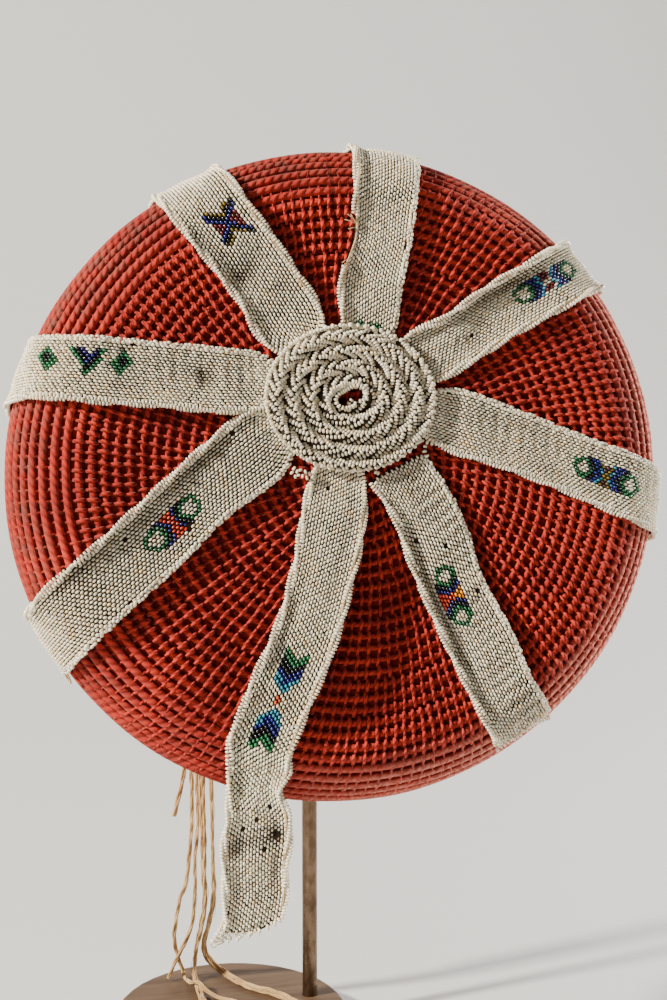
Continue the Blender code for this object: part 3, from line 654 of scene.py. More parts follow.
def ringFaces(rings):
    # faces between rings of point numbers; a ring that is one point again and again gives triangles
    faces = []
    for one, two in zip(rings, rings[1:]):
        for k in range(len(one)):
            n = (k + 1) % len(one)
            faces.append(tuple(dict.fromkeys((one[k], one[n], two[n], two[k]))))
    return faces


def newShape(name, points, faces):
    mesh = bpy.data.meshes.new(name)
    mesh.from_pydata(points, [], faces)
    mesh.shade_smooth()
    return bpy.data.objects.new(name, mesh)


def makeBead(name, rows, sides):
    # a small turned shape along X from a table of place along X and radius; the ends close on the axis
    points = [(rows[0][0], 0.0, 0.0)]
    for x, r in rows[1:-1]:
        turns = [fullTurn * k / sides for k in range(sides)]
        points += [(x, r * math.cos(turn), r * math.sin(turn)) for turn in turns]
    points.append((rows[-1][0], 0.0, 0.0))
    rings = [[0] * sides] + numberRings(len(rows) - 2, sides, 1) + [[len(points) - 1] * sides]
    return newShape(name, points, ringFaces(rings))


def finishPiece(piece, solid=None):
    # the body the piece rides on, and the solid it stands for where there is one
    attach(piece, "root")
    if solid:
        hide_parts(solid)
    print(piece.name, sum(len(face.vertices) - 2 for face in piece.data.polygons), "triangles")


# The hat: deep layer, inside, cord rows and the stitches over them

weave = {
    "rowPitch": 0.0067, "firstRow": 0.0045, "slantDeg": 7.0, "lineStep": 0.0025,
    "thinCord": 0.00146, "thickCord": 0.00215, "sideCord": 0.00175, "lipCord": 0.0026,
    "thickFrom": 0.104, "thickTo": 0.160,
    "topSides": 6, "sideSides": 5, "lipSink": 0.0024, "lipBack": 0.0012,
    "lipHeight": -0.0043, "lipDrop": 0.0008,
    "waverAlong": 0.00045, "waverHigh": 0.00030, "pinch": 0.10,
    "calmTurnDeg": -62.0, "calmThick": 0.14, "calmSink": 0.0017,
    "stitchCounts": (20, 27, 36, 48, 64, 86, 115, 150, 176), "stitchGap": 0.0050,
    "stitchWide": 0.00116, "stitchHigh": 0.0021, "stitchOver": 0.00055, "stitchUneven": 0.10,
    "underHeight": -0.0034, "shellSegments": 88, "shellRings": 58, "insideRipple": 0.00049,
    "dirtTurnDeg": -48.0, "highlightTurnDeg": 112.0, "roundFrom": 0.150,
}


def dirtAndHighlightAt(length, turn):
    # how dirty the cord is there, and how strong the painted pink highlight on its crests is towards the
    # right, as a colour's red and green
    outer = smoothStep(length, 0.150, 0.188) * (1 - smoothStep(length, 0.232, 0.262))
    dirt = outer * (0.35 + 0.65 * np.clip(np.cos(turn - math.radians(weave["dirtTurnDeg"])), 0, 1))
    dirt = np.maximum(dirt, 0.30 * smoothStep(length, 0.215, 0.26))
    paintedHighlight = outer * np.clip(np.cos(turn - math.radians(weave["highlightTurnDeg"])) * 1.5, 0, 1)
    paintedHighlight = paintedHighlight * smoothStep(length, 0.156, 0.178)
    return np.stack([dirt, paintedHighlight, np.zeros_like(dirt), np.ones_like(dirt)], axis=-1)


def calmAt(length, turn):
    # 1 where the rim's rows are smooth and close: the outermost, and more of them at the left
    facing = np.clip(1.6 * np.cos(turn - math.radians(weave["calmTurnDeg"])) + 0.35, 0, 1)
    return np.maximum(smoothStep(length, 0.146, 0.160) * facing, 0.8 * smoothStep(length, 0.166, 0.174))


def cordRadiusAt(length):
    rim = smoothStep(length, weave["thickFrom"], weave["thickTo"])
    side = smoothStep(length, 0.225, 0.255)
    radius = weave["thinCord"] + (weave["thickCord"] - weave["thinCord"]) * rim
    return radius + (weave["sideCord"] - weave["thickCord"]) * side


def stitchCountAt(radius):
    # as many stitches round a row as fit at the least gap
    fits = [n for n in weave["stitchCounts"] if fullTurn * radius / n >= weave["stitchGap"]]
    return fits[-1] if fits else weave["stitchCounts"][0]


def weaveRows():
    # each row: place along the outline, radius, stitches, and the turn of its first stitch
    rows, slant = [], 0.0
    length = weave["firstRow"]
    while length < fullLength - 0.004:
        radius = float(outlineAt(length, 0.0)[2])
        count = stitchCountAt(radius)
        if rows and rows[-1][2] != count:
            slant = dice.uniform(0, fullTurn / count)
        rows.append((length, radius, count, slant))
        slant += weave["rowPitch"] * math.tan(math.radians(weave["slantDeg"])) / max(radius, 0.01)
        length += weave["rowPitch"]
    return rows


def makeHatShell():
    # from the middle of the top over the rim to the lip, and back along the coils of the inside
    segments, ripple = weave["shellSegments"], weave["insideRipple"]
    places = np.linspace(0.0, fullLength, weave["shellRings"])
    profile = [outlineAt(place, weave["underHeight"])[:2] for place in places]
    lipR, lipW, _ = outlineAt(fullLength, weave["lipHeight"])
    profile.append((lipR, lipW - weave["lipDrop"]))
    coils = 2 * int(fullLength / weave["rowPitch"])
    for i in range(coils, -1, -1):
        height = -hatForm["wall"] + (-ripple if i % 2 else ripple)
        profile.append(outlineAt(fullLength * i / coils, height)[:2])
    points, rings = [], []
    turns = np.arange(segments) * fullTurn / segments
    for r, w in profile:
        first = len(points)
        if r < 0.0008:  # on the axis
            points.append(hatPoints(0.0, 0.0, w))
            rings.append([first] * segments)
        else:
            points.extend(hatPoints(r * np.sin(turns), r * np.cos(turns), w))
            rings.append(list(range(first, first + segments)))
    shell = linkMesh("hat_shell", points, [face[::-1] for face in ringFaces(rings)], hatDeep)
    shell.data.materials.append(hatInside)
    inside = np.repeat(np.arange(len(rings) - 1) >= weave["shellRings"] - 1, segments)
    shell.data.polygons.foreach_set("material_index", inside.astype(np.int32))
    return shell


def waves(turn, counts):
    # a slow, uneven wave round a row
    return sum(np.sin(turn * n + dice.uniform(0, 6.28)) / (1 + 0.2 * n) for n in counts) * 0.5


def cordLine(length, radius, thick, high, stitches=0, first=0.0):
    # the points of one row all the way round, with its thickness, outward direction, dirt and painted
    # highlight
    count = max(24, int(round(fullTurn * radius / weave["lineStep"])))
    turn = np.arange(count) * fullTurn / count
    waver, lift = waves(turn, (3, 5, 9, 14)), waves(turn, (4, 7, 12))
    place = length + waver * weave["waverAlong"] * min(1.0, radius / 0.05)
    calm = calmAt(place, turn)
    size = thick * (1 + weave["calmThick"] * calm)
    height = high + lift * weave["waverHigh"] - (size - thick)
    points = ringPoints(place, turn, height)
    facing = unit(ringPoints(place, turn, height + 0.001) - points)
    if stitches:
        size = size * (1 - weave["pinch"] * (1 - calm) * np.cos((turn - first) * stitches))
    size = size * (1 + 0.05 * np.sin(turn * 17 + dice.uniform(0, 6.28)))
    return points, size, facing, dirtAndHighlightAt(place, turn)


def makeCordRows(name, rows, sides, lip=False):
    # the rows' cords, and the thick one round the opening where it is asked for
    lines = []
    for length, radius, count, slant in rows:
        thick = float(cordRadiusAt(length))
        lines.append(cordLine(length, radius, thick, -thick * 0.95, count, slant))
    if lip:
        sink = weave["lipSink"]
        lipRadius = hatForm["openingRadius"] - sink
        lines.append(cordLine(fullLength - weave["lipBack"], lipRadius, weave["lipCord"], -sink))
    return growCords(name, lines, sides, redCord, closed=True)


def makeStitchShape():
    # one stitch: a bar along X that arches over a row, widest on top
    rows = ((-0.53, -0.74, 0.6), (-0.24, -0.12, 0.88), (0, 0, 1), (0.24, -0.12, 0.88), (0.53, -0.74, 0.6))
    points, around, sides = [], [], 5
    for x, z, wide in rows:
        for k in range(sides):
            turn = fullTurn * (k + 0.25) / sides
            points.append((x, wide * math.cos(turn), z + 0.52 * wide * math.sin(turn)))
            around.append((math.sin(turn), math.cos(turn), x * 0.008))
    rings = numberRings(len(rows), sides)
    faces = ringFaces(rings) + [rings[0][::-1], rings[-1]]
    shape = newShape("stitch", points, [face[::-1] for face in faces])
    carry(shape.data, "around", "FLOAT_VECTOR", np.array(around))
    return shape


def makeStitches(name, rows):
    # the stitches over some of the rows, without those that the beadwork hides
    places, sizes = [], []
    for length, radius, count, slant in rows:
        turn = slant + (np.arange(count) + dice.uniform(-0.09, 0.09, count)) * fullTurn / count
        turn = turn[~underBeadwork(length * np.sin(turn), length * np.cos(turn))]
        if not len(turn):
            continue
        tall = weave["stitchHigh"] * dice.uniform(0.85, 1.15, len(turn))
        wide = weave["stitchWide"] + 0.35 * (cordRadiusAt(length) - weave["thinCord"])
        wide = wide * dice.uniform(0.85, 1.2, len(turn))
        span = weave["rowPitch"] * dice.uniform(0.97, 1.10, len(turn))
        calm = calmAt(np.full(len(turn), length), turn)
        high = weave["stitchOver"] + dice.uniform(-0.0002, 0.0002, len(turn))
        high = high - weave["calmSink"] * calm - 0.0003 * float(smoothStep(length, weave["roundFrom"], 0.170))
        places.append((np.full(len(turn), length), turn, high))
        sizes.append(np.stack([span, wide * (1 - 0.25 * calm), tall], axis=-1))
    length, turn, high = (np.concatenate(part) for part in zip(*places))
    points = ringPoints(length, turn, high)
    outward = unit(ringPoints(length + 0.0005, turn, high) - ringPoints(length - 0.0005, turn, high))
    normal = unit(ringPoints(length, turn, high + 0.001) - points)
    lean = np.radians(-weave["slantDeg"] + dice.uniform(-6, 6, len(turn)))[:, None]
    direction = outward * np.cos(lean) + np.cross(normal, outward) * np.sin(lean)
    carried = [("turn", "QUATERNION", turnsOf(direction, normal)),
               ("size", "FLOAT_VECTOR", np.concatenate(sizes)),
               ("dirtAndHighlight", "FLOAT_COLOR", dirtAndHighlightAt(length, turn))]
    settings = {"Shape": stitchShape, "Size": 1.0, "Uneven": weave["stitchUneven"], "Seed": 4,
                "Finish": redCord}
    return growPiece(name, points, [], carried, scatterTree, settings)


# The beadwork's places

beadwork = {
    "bandWidth": 0.035, "bandThick": 0.0032, "foldOver": 0.018, "drop": 0.113, "seat": 0.0004,
    "ovalWide": 0.0493, "ovalHigh": 0.042, "ovalAcross": -0.0017, "ovalUp": 0.0352,
    "ovalHole": 0.0066, "ovalTurns": 4.3, "ovalHeight": 0.0100,
    "beadLong": 0.00152, "beadRound": 0.00132, "beadPitch": 0.0027,
}

# From a direction and share of the rosette's oval, to a direction and share of the way to the rim's
# widest line, then a share of the fold over the rim. Rows: along, drift, width, and three lifts.
bandTable = {
    "strip_upper_left": ((-33.4, 0.84, -26.8, 1.0, 1.0), [
        (0.0, 0.0, 0.62, 0.0, 0.0, 0.0), (0.08, 0.0, 1.04, 0.0, 0.0, 0.0),
        (0.3, -0.02, 1.11, 0.5, 0.1, 0.5), (0.5, 0.0, 1.14, 0.4, 0.7, 0.9),
        (0.65, 0.05, 1.18, 0.7, 0.2, 0.9), (0.8, 0.01, 1.21, 0.6, 0.1, 0.6),
        (1.0, -0.14, 1.17, 0.1, 0.0, 0.1)]),
    "strip_top": ((17.0, 0.84, 10.9, 1.0, 1.0), [
        (0.0, 0.0, 0.62, 0.0, 0.0, 0.0), (0.08, 0.02, 0.88, 0.0, 0.0, 0.0),
        (0.25, 0.07, 0.99, 0.6, 0.1, 0.6), (0.42, -0.01, 0.92, 0.3, 0.1, 0.8),
        (0.6, 0.02, 1.0, 0.6, 0.1, 0.7), (0.8, 0.02, 1.08, 0.8, 0.1, 0.3), (1.0, 0.0, 1.12, 0.1, 0.0, 0.1)]),
    "strip_upper_right": ((59.1, 0.84, 52.4, 1.0, 1.0), [
        (0.0, 0.0, 0.62, 0.0, 0.0, 0.0), (0.08, -0.03, 0.92, 0.0, 0.0, 0.0),
        (0.2, -0.07, 0.86, 0.7, 0.0, 0.3), (0.4, -0.04, 0.9, 1.4, 0.0, 0.4),
        (0.7, -0.09, 0.93, 1.2, 0.1, 0.4), (0.85, -0.11, 0.94, 0.5, 0.1, 0.3),
        (1.0, -0.11, 0.94, 0.1, 0.0, 0.1)]),
    "strip_right": ((103.1, 0.84, 97.5, 1.0, 1.0), [
        (0.0, 0.0, 0.62, 0.0, 0.0, 0.0), (0.08, 0.0, 0.92, 0.0, 0.0, 0.0),
        (0.3, -0.04, 0.97, 0.4, 0.2, 0.6), (0.5, -0.1, 0.96, 0.3, 0.1, 0.7),
        (0.8, -0.2, 1.02, 0.4, 0.0, 0.6), (1.0, -0.16, 0.91, 0.1, 0.0, 0.1)]),
    "strip_lower_right": ((153.0, 1.06, 148.7, 0.880, 0.0), [
        (0.0, 0.0, 0.97, 0.2, 0.1, 0.2), (0.15, 0.05, 1.02, 0.5, 0.4, 0.9),
        (0.3, -0.02, 1.1, 0.3, 0.3, 0.7), (0.45, -0.13, 1.04, 0.5, 0.1, 1.3),
        (0.7, -0.14, 1.07, 0.9, 0.3, 0.8), (0.85, -0.16, 1.02, 0.7, 0.1, 0.4),
        (1.0, -0.04, 1.09, 0.3, 0.1, 0.2)]),
    "strip_bottom": ((190.8, 0.84, 202.4, 0.790, 0.0), [
        (0.0, 0.02, 0.62, 0.0, 0.0, 0.0), (0.07, 0.08, 0.88, 0.0, 0.0, 0.0),
        (0.2, 0.12, 1.02, 1.8, 2.6, 1.6), (0.4, 0.18, 0.97, 2.9, 2.9, 2.4),
        (0.6, 0.19, 0.97, 3.2, 2.8, 2.2), (0.7, 0.15, 1.0, 3.0, 2.4, 2.6),
        (0.8, 0.09, 1.01, 2.6, 1.9, 1.8), (0.93, 0.05, 1.0, 0.6, 0.3, 0.5),
        (1.0, 0.03, 1.02, 0.0, 0.0, 0.0)]),
    "strip_lower_left": ((-110.8, 0.84, -117.0, 1.0, 0.0), [
        (0.0, 0.0, 0.62, 0.0, 0.0, 0.0), (0.07, 0.01, 1.04, 0.0, 0.0, 0.0),
        (0.2, 0.0, 1.12, 0.8, 0.2, 0.3), (0.3, -0.03, 1.05, 0.6, 0.3, 0.8),
        (0.5, 0.02, 1.08, 0.7, 0.1, 1.0), (0.7, 0.04, 1.05, 0.8, 0.2, 1.1),
        (0.9, 0.08, 1.06, 0.4, 0.1, 0.8), (1.0, 0.08, 1.03, 0.1, 0.0, 0.2)]),
    "strip_left": ((-76.0, 0.84, -70.4, 1.0, 1.0), [
        (0.0, 0.0, 0.62, 0.0, 0.0, 0.0), (0.08, 0.01, 0.9, 0.0, 0.0, 0.0),
        (0.2, 0.06, 1.01, 0.6, 0.3, 0.3), (0.4, 0.08, 1.01, 0.7, 0.0, 0.3),
        (0.6, 0.12, 1.03, 0.5, 0.3, 0.3), (0.8, 0.14, 1.01, 0.5, 0.1, 0.3),
        (1.0, 0.06, 1.09, 0.1, 0.0, 0.1)]),
}

# The hanging end of the bottom strip: share of the drop, drift, width and swing forward
dropRows = [
    (0.0, 0.03, 1.02, 0.0), (0.1, 0.02, 0.98, 0.02), (0.21, -0.06, 0.84, 0.03), (0.35, 0.0, 0.98, 0.03),
    (0.45, -0.02, 1.08, 0.02), (0.6, -0.05, 1.02, 0.0), (0.8, -0.06, 0.98, -0.01),
    (0.9, -0.14, 0.86, -0.01), (0.95, -0.38, 0.55, 0.0), (1.0, -0.72, 0.1, 0.0)
]


def smoothRead(rows, at):
    # a table's columns, read between its rows along one smooth curve
    table = np.array(rows, float)
    places = table[:, 0]
    slopes = np.gradient(table[:, 1:], places, axis=0)
    at = np.clip(np.atleast_1d(at), places[0], places[-1])
    row = np.clip(np.searchsorted(places, at, side="right") - 1, 0, len(places) - 2)
    wide = (places[row + 1] - places[row])[:, None]
    t = (at - places[row])[:, None] / wide
    start, end = table[row, 1:], table[row + 1, 1:]
    read = (2 * t**3 - 3 * t**2 + 1) * start + (t**3 - 2 * t**2 + t) * wide * slopes[row]
    read += (3 * t**2 - 2 * t**3) * end + (t**3 - t**2) * wide * slopes[row + 1]
    return read.T


def bandFrame(name):
    # where a strip starts and ends on the unrolled skin, its directions and its lengths
    fromDeg, fromShare, toDeg, reach, fold = bandTable[name][0]
    fromTurn, toTurn = math.radians(fromDeg), math.radians(toDeg)
    start = np.array([
        beadwork["ovalAcross"] + fromShare * beadwork["ovalWide"] * math.sin(fromTurn),
        beadwork["ovalUp"] + fromShare * beadwork["ovalHigh"] * math.cos(fromTurn)])
    end = np.array([math.sin(toTurn), math.cos(toTurn)]) * reach * rimArc
    length = float(np.linalg.norm(end - start))
    ahead = (end - start) / length
    total = length + fold * beadwork["foldOver"]
    if name == "strip_bottom":
        total = length + beadwork["drop"]
    return {"start": start, "end": end, "length": length, "ahead": ahead,
            "left": np.array([-ahead[1], ahead[0]]), "total": total, "rows": bandTable[name][1]}


bands = {name: bandFrame(name) for name in bandTable}


def bandWidthAt(band, along):
    width = smoothRead(band["rows"], along / band["length"])[1]
    if band is bands["strip_bottom"]:
        low = along > band["length"]
        width[low] = smoothRead(dropRows, (along[low] - band["length"]) / beadwork["drop"])[1]
    return width * beadwork["bandWidth"]


def halfWidthAt(band, place):
    return float(bandWidthAt(band, np.array([place]))[0]) / 2


def hangingPlaces(band, along, across, height):
    # places on the end that hangs free, drawn in at its start to where the strip leaves the hat
    end = band["end"]
    side = unit(np.array([-end[1], end[0] * math.sin(tilt), 0.0]))
    out = np.array([side[1], -side[0], 0.0])
    top = skinPoints(end[0], end[1], beadwork["seat"])
    share = (along - band["length"]) / beadwork["drop"]
    drift, width, swing = smoothRead(dropRows, share)
    offset = (drift + across * width / 2) * beadwork["bandWidth"]
    points = top + side * offset[:, None] + out * (swing * beadwork["bandWidth"] + height)[:, None]
    points[:, 2] -= beadwork["drop"] * share
    lastDrift, lastWidth = smoothRead(band["rows"], 1.0)[:2, 0]
    lastAside = lastDrift + across * lastWidth * spreadAt(np.linalg.norm(end)) / 2
    lastSpot = end + band["left"] * (lastAside * beadwork["bandWidth"])[:, None]
    firstDrift, firstWidth = smoothRead(dropRows, 0.0)[:2, 0]
    firstAside = (firstDrift + across * firstWidth / 2) * beadwork["bandWidth"]
    jump = skinPoints(*lastSpot.T, beadwork["seat"]) - top - side * firstAside[:, None]
    return points + jump * (1 - smoothStep(share, 0.0, 0.30))[:, None]


def bandPlaces(band, along, across, height):
    # places on a band: metres along it, share of its half width to its left, height over its seat
    along, across, height = np.broadcast_arrays(along, across, height)
    drift, width, liftLeft, liftMiddle, liftRight = smoothRead(band["rows"], along / band["length"])
    edgeLift = np.maximum(np.where(across > 0, liftLeft, liftRight), 0)
    lift = np.maximum(liftMiddle, 0) * (1 - across**2) + edgeLift * across**2
    middle = band["start"] + band["ahead"] * along[:, None]
    widening = spreadAt(np.linalg.norm(middle, axis=1))
    aside = (drift + across * width * widening / 2) * beadwork["bandWidth"]
    spot = middle + band["left"] * aside[:, None]
    points = skinPoints(*spot.T, beadwork["seat"] + lift * beadwork["bandThick"] + height)
    low = along > band["length"]
    if band is bands["strip_bottom"] and low.any():
        points[low] = hangingPlaces(band, along[low], across[low], height[low])
    return points


def underBeadwork(across, up):
    # true where the rosette or a strip lies closely over the hat, well inside its edges
    oval = np.hypot((across - beadwork["ovalAcross"]) / beadwork["ovalWide"],
                    (up - beadwork["ovalUp"]) / beadwork["ovalHigh"])
    hidden = (oval < 0.86) & (oval > 0.30)
    widening = spreadAt(np.hypot(across, up))
    for name, band in bands.items():
        spot = np.stack([across, up], axis=-1) - band["start"]
        along = spot @ band["ahead"]
        drift, width = smoothRead(band["rows"], along / band["length"])[:2]
        aside = spot @ band["left"] - drift * beadwork["bandWidth"]
        covered = np.abs(aside) < width * widening * beadwork["bandWidth"] / 2 - 0.005
        if name != "strip_bottom":  # this one stands off the hat
            hidden |= covered & (along > 0.004) & (along < band["total"] - 0.010)
    return hidden


hatShell = makeHatShell()
hatRows = weaveRows()
topRows = [row for row in hatRows if row[0] < rimArc]
sideRows = [row for row in hatRows if row[0] >= rimArc]
stitchShape = makeStitchShape()
hatPieces = [
    makeCordRows("hat_cord_rows_top", topRows, weave["topSides"]),
    makeCordRows("hat_cord_rows_side", sideRows, weave["sideSides"], lip=True),
    makeStitches("hat_stitches_top", [row for row in topRows if row[0] < weave["roundFrom"]]),
    makeStitches("hat_stitches_rim", [row for row in topRows if row[0] >= weave["roundFrom"]]),
    makeStitches("hat_stitches_side", sideRows),
]
finishPiece(hatShell, "hat_body")
for piece in hatPieces:
    finishPiece(piece)
print("the hat is woven")


# Small beads: their colours, the charts of the motifs, and where each lies on its strip

beadColours = {
    "w": colour(250, 236, 206), "g": colour(34, 106, 62), "k": colour(12, 10, 13), "b": colour(18, 22, 104),
    "l": colour(56, 138, 164), "r": colour(206, 56, 16), "y": colour(222, 132, 20), "o": colour(116, 94, 16),
    "p": colour(78, 44, 62), "m": colour(98, 14, 18), "f": colour(232, 92, 20),
}
ringLayers = (("g", 0.72, 1.12), ("k", 1.12, 1.42), ("b", 1.42, 1.95))


# The motifs, in half bead rows along the strip (u) and bead columns across it (v)

def paintRings(u, v, reach, layers, wedges):
    marks = np.full(len(u), ".", dtype="<U1")
    away = np.hypot((np.abs(u) - reach) / 4.2, v / 3.0)
    inward = (np.abs(u) < reach - 1.0) & (np.abs(v) < 3.8)
    for letter, low, high in layers:
        marks[(away >= low) & (away < high) & (inward | (letter == "g"))] = letter
    for letter, side, nearU, lowV, highV in wedges:
        marks[(marks == ".") & (np.abs(u) <= nearU) & (side * v > lowV) & (side * v <= highV)] = letter
    return marks


def wedgesMotif(u, v, left="r", right="r"):
    layers = ringLayers[:2] + (("b", 1.42, 1.82),)
    return paintRings(u, v, 9.0, layers, ((left, -1, 3.6, -0.5, 4.2), (right, 1, 3.6, 0.4, 4.2)))


def crossMotif(u, v):
    layers = ringLayers + (("l", 1.95, 2.28),)
    marks = paintRings(u, v, 11.0, layers, (("o", -1, 2.6, -0.5, 3.6), ("o", 1, 2.6, 0.4, 3.6)))
    marks[(marks == "o") & (np.abs(u) < 0.9) & (np.abs(v) > 1.4)] = "p"
    return marks


def openMotif(u, v):
    layers = ringLayers + (("l", 1.95, 2.30),)
    return paintRings(u, v, 11.6, layers, (("m", -1, 1.8, 1.2, 3.6), ("m", 1, 1.8, 1.2, 3.6)))


def paintLevels(level, inside, layers):
    marks = np.full(len(level), ".", dtype="<U1")
    for letter, low, high in layers:
        marks[(level >= low) & (level < high) & inside] = letter
    return marks


def leafMotif(u, v):
    layers = (("l", 3.0, 6.2), ("b", 6.2, 9.6), ("k", 9.6, 12.6), ("g", 12.6, 16.5))
    marks = paintLevels(np.abs(u) - 1.2 * np.abs(v), (np.abs(v) < 4.4) & (np.abs(u) < 20.0), layers)
    marks[(np.abs(u) <= 4.4) & (np.abs(v) > 2.6)] = "."
    marks[np.abs(u) / 2.2 + np.abs(v) / 1.2 <= 1.05] = "f"
    return marks


def butterflyMotif(u, v):
    layers = (("m", -6.0, -1.1), ("b", -1.1, 1.1), ("k", 1.1, 2.7), ("o", 2.7, 4.6))
    marks = paintLevels(np.abs(u) - 1.3 * np.abs(v), (np.abs(v) < 4.7) & (np.abs(u) < 8.4), layers)
    marks[(marks == "m") & (np.abs(v) > 3.7)] = "."
    return marks


def diamondMotif(u, v, long, wide):
    level = np.abs(u) / long + np.abs(v) / wide
    return np.where(level <= 0.58, "k", np.where(level <= 1.1, "g", "."))


def triangleMotif(u, v):
    layers = (("g", 0.0, 1.8), ("k", 1.8, 3.6), ("b", 3.6, 5.5))
    return paintLevels((4.6 - v) * 0.83 - np.abs(u), v > -4.6, layers)


def spotMotif(u, v):
    return np.where(np.hypot(u / 1.9, v / 2.0) <= 1.0, "g", ".")


# strip: place along it, place across it, motif
motifs = {
    "strip_upper_left": [(0.0842, -0.18, butterflyMotif)],
    "strip_top": [(0.0072, 0.22, spotMotif), (0.0086, -0.35, spotMotif)],
    "strip_upper_right": [(0.0980, 0.12, openMotif)],
    "strip_right": [(0.1160, 0.07, crossMotif)],
    "strip_lower_right": [(0.0797, -0.07, lambda u, v: wedgesMotif(u, v, "r", "y"))],
    "strip_bottom": [(0.1363, 0.0, leafMotif)],
    "strip_lower_left": [(0.0830, 0.07, wedgesMotif)],
    "strip_left": [
        (0.1265, -0.33, lambda u, v: diamondMotif(u, v, 4.2, 4.1)), (0.1050, -0.23, triangleMotif),
        (0.0867, -0.33, lambda u, v: diamondMotif(u, v, 4.4, 4.4))],
}

# strip: place along, place across, reach along, reach across, and how far it sinks and darkens; the darkening
# is painted shade, except for the real stains on the bottom strip's hanging end
dentsShadeAndStains = {
    "strip_upper_left": [
        (0.0538, 0.30, 0.009, 0.45, 0.0019, 0.66), (0.0690, 0.60, 0.014, 0.25, 0.0010, 0.40),
        (0.0450, -0.1, 0.006, 0.50, -0.0009, 0.0)],
    "strip_top": [(0.0600, 0.95, 0.030, 0.20, 0.0006, 0.45), (0.1150, 0.62, 0.020, 0.12, 0.0008, 0.40)],
    "strip_left": [
        (0.0416, -0.12, 0.0060, 0.36, 0.0021, 0.80), (0.0470, 0.10, 0.005, 0.25, -0.0008, 0.0),
        (0.0867, -0.72, 0.0040, 0.14, 0.0010, 0.75), (0.0092, -0.03, 0.004, 0.5, -0.0012, 0.0)],
    "strip_right": [(0.0500, 0.60, 0.030, 0.30, 0.0010, 0.30), (0.0800, -0.4, 0.020, 0.2, 0.0008, 0.2)],
    "strip_upper_right": [(0.0700, 0.66, 0.040, 0.20, 0.0018, 0.85), (0.0400, -0.2, 0.012, 0.3, 0.0008, 0.3)],
    "strip_lower_right": [
        (0.0850, -0.66, 0.045, 0.15, 0.0014, 0.72), (0.0150, 0.1, 0.012, 0.5, 0.0010, 0.45),
        (0.0780, 0.55, 0.004, 0.3, -0.0008, 0.0), (0.0880, 0.60, 0.004, 0.3, 0.0008, 0.3)],
    "strip_lower_left": [
        (0.0560, -0.70, 0.030, 0.17, 0.0012, 0.70), (0.1300, -0.76, 0.034, 0.13, 0.0012, 0.65),
        (0.0920, -0.62, 0.010, 0.2, 0.0009, 0.55)],
    "strip_bottom": [
        (0.2130, 0.58, 0.0062, 0.28, 0.0010, 0.92), (0.2195, -0.58, 0.0062, 0.34, 0.0006, 0.74),
        (0.2165, 0.00, 0.0045, 0.55, 0.0005, 0.58), (0.2330, 0.66, 0.022, 0.14, 0.0008, 0.60),
        (0.2490, 0.05, 0.004, 0.20, 0.0003, 0.50), (0.1000, -0.65, 0.020, 0.16, 0.0008, 0.40)],
}

# strip: how high its wrinkles are, how far apart, and the side they are on; their troughs get painted shade
wrinkles = {
    "strip_lower_right": (0.00048, 0.0062, 1), "strip_right": (0.00022, 0.0075, 1),
    "strip_left": (0.00020, 0.0070, -1), "strip_lower_left": (0.00026, 0.0090, -1),
}

# strip: place along and across of a bead that is missing, with how far round it they are missing
missing = {
    "strip_bottom": [
        (0.2025, -0.05, 0.0012), (0.2087, -0.47, 0.0010), (0.2197, 0.25, 0.0012), (0.1963, 0.45, 0.0012),
        (0.2110, -0.90, 0.0012)],
    "strip_top": [(place, 1.14, 0.0042) for place in (0.0440, 0.0500, 0.0560, 0.0620, 0.0670)],
    "strip_lower_left": [(0.0780, 0.48, 0.0012)],
    "strip_lower_right": [(0.0533, 0.24, 0.0013), (0.0424, -0.58, 0.0012)],
}

bandLook = {
    "columns": 20, "reach": 0.93, "leastPitch": 0.00160, "beadHigh": 0.00172, "shift": 0.00010, "lean": 0.10,
    "lost": 0.0010, "paintedLightOnHang": 0.14, "threadLow": 0.00020, "threadHigh": 0.00080, "threadReach": 0.93,
    "threadStep": 0.005, "threadColumns": 8, "hangRaise": 0.0009,
    "tipBare": 0.0065, "tipFrom": 0.78, "tipLean": -0.55, "rippleHigh": 0.00036, "dishHigh": 0.0009,
    "ropeSide": 0.885, "ropeHigh": 0.0025, "ropePitch": 0.00094, "ropeRound": 0.00116, "ropeTwistDeg": 187.0,
    "ropeLong": 0.00172, "fringePitch": 0.0024, "fringeLong": 0.00195, "edgeWide": 0.0027,
    "endPitch": 0.00110, "endLong": 0.0019, "looseLong": 0.0018,
}

# uneven whites: from where to where in the share of the beads, and what tints them
beadTints = ((0.00, 0.10, (1.0, 0.90, 0.74)), (0.10, 0.14, (1.0, 0.90, 0.84)),
             (0.20, 0.30, (0.86, 0.94, 0.92)))

# strip: how its left and its right edge are finished
edgeKinds = {
    "strip_upper_left": ("rope", "rope"), "strip_top": ("rope", "fringe"),
    "strip_upper_right": ("rope", "rope"), "strip_right": ("fringe", "rope"),
    "strip_lower_right": ("fringe", "rope"), "strip_bottom": ("rope", "rope"),
    "strip_lower_left": ("fringe", "rope"), "strip_left": ("rope", "fringe"),
}


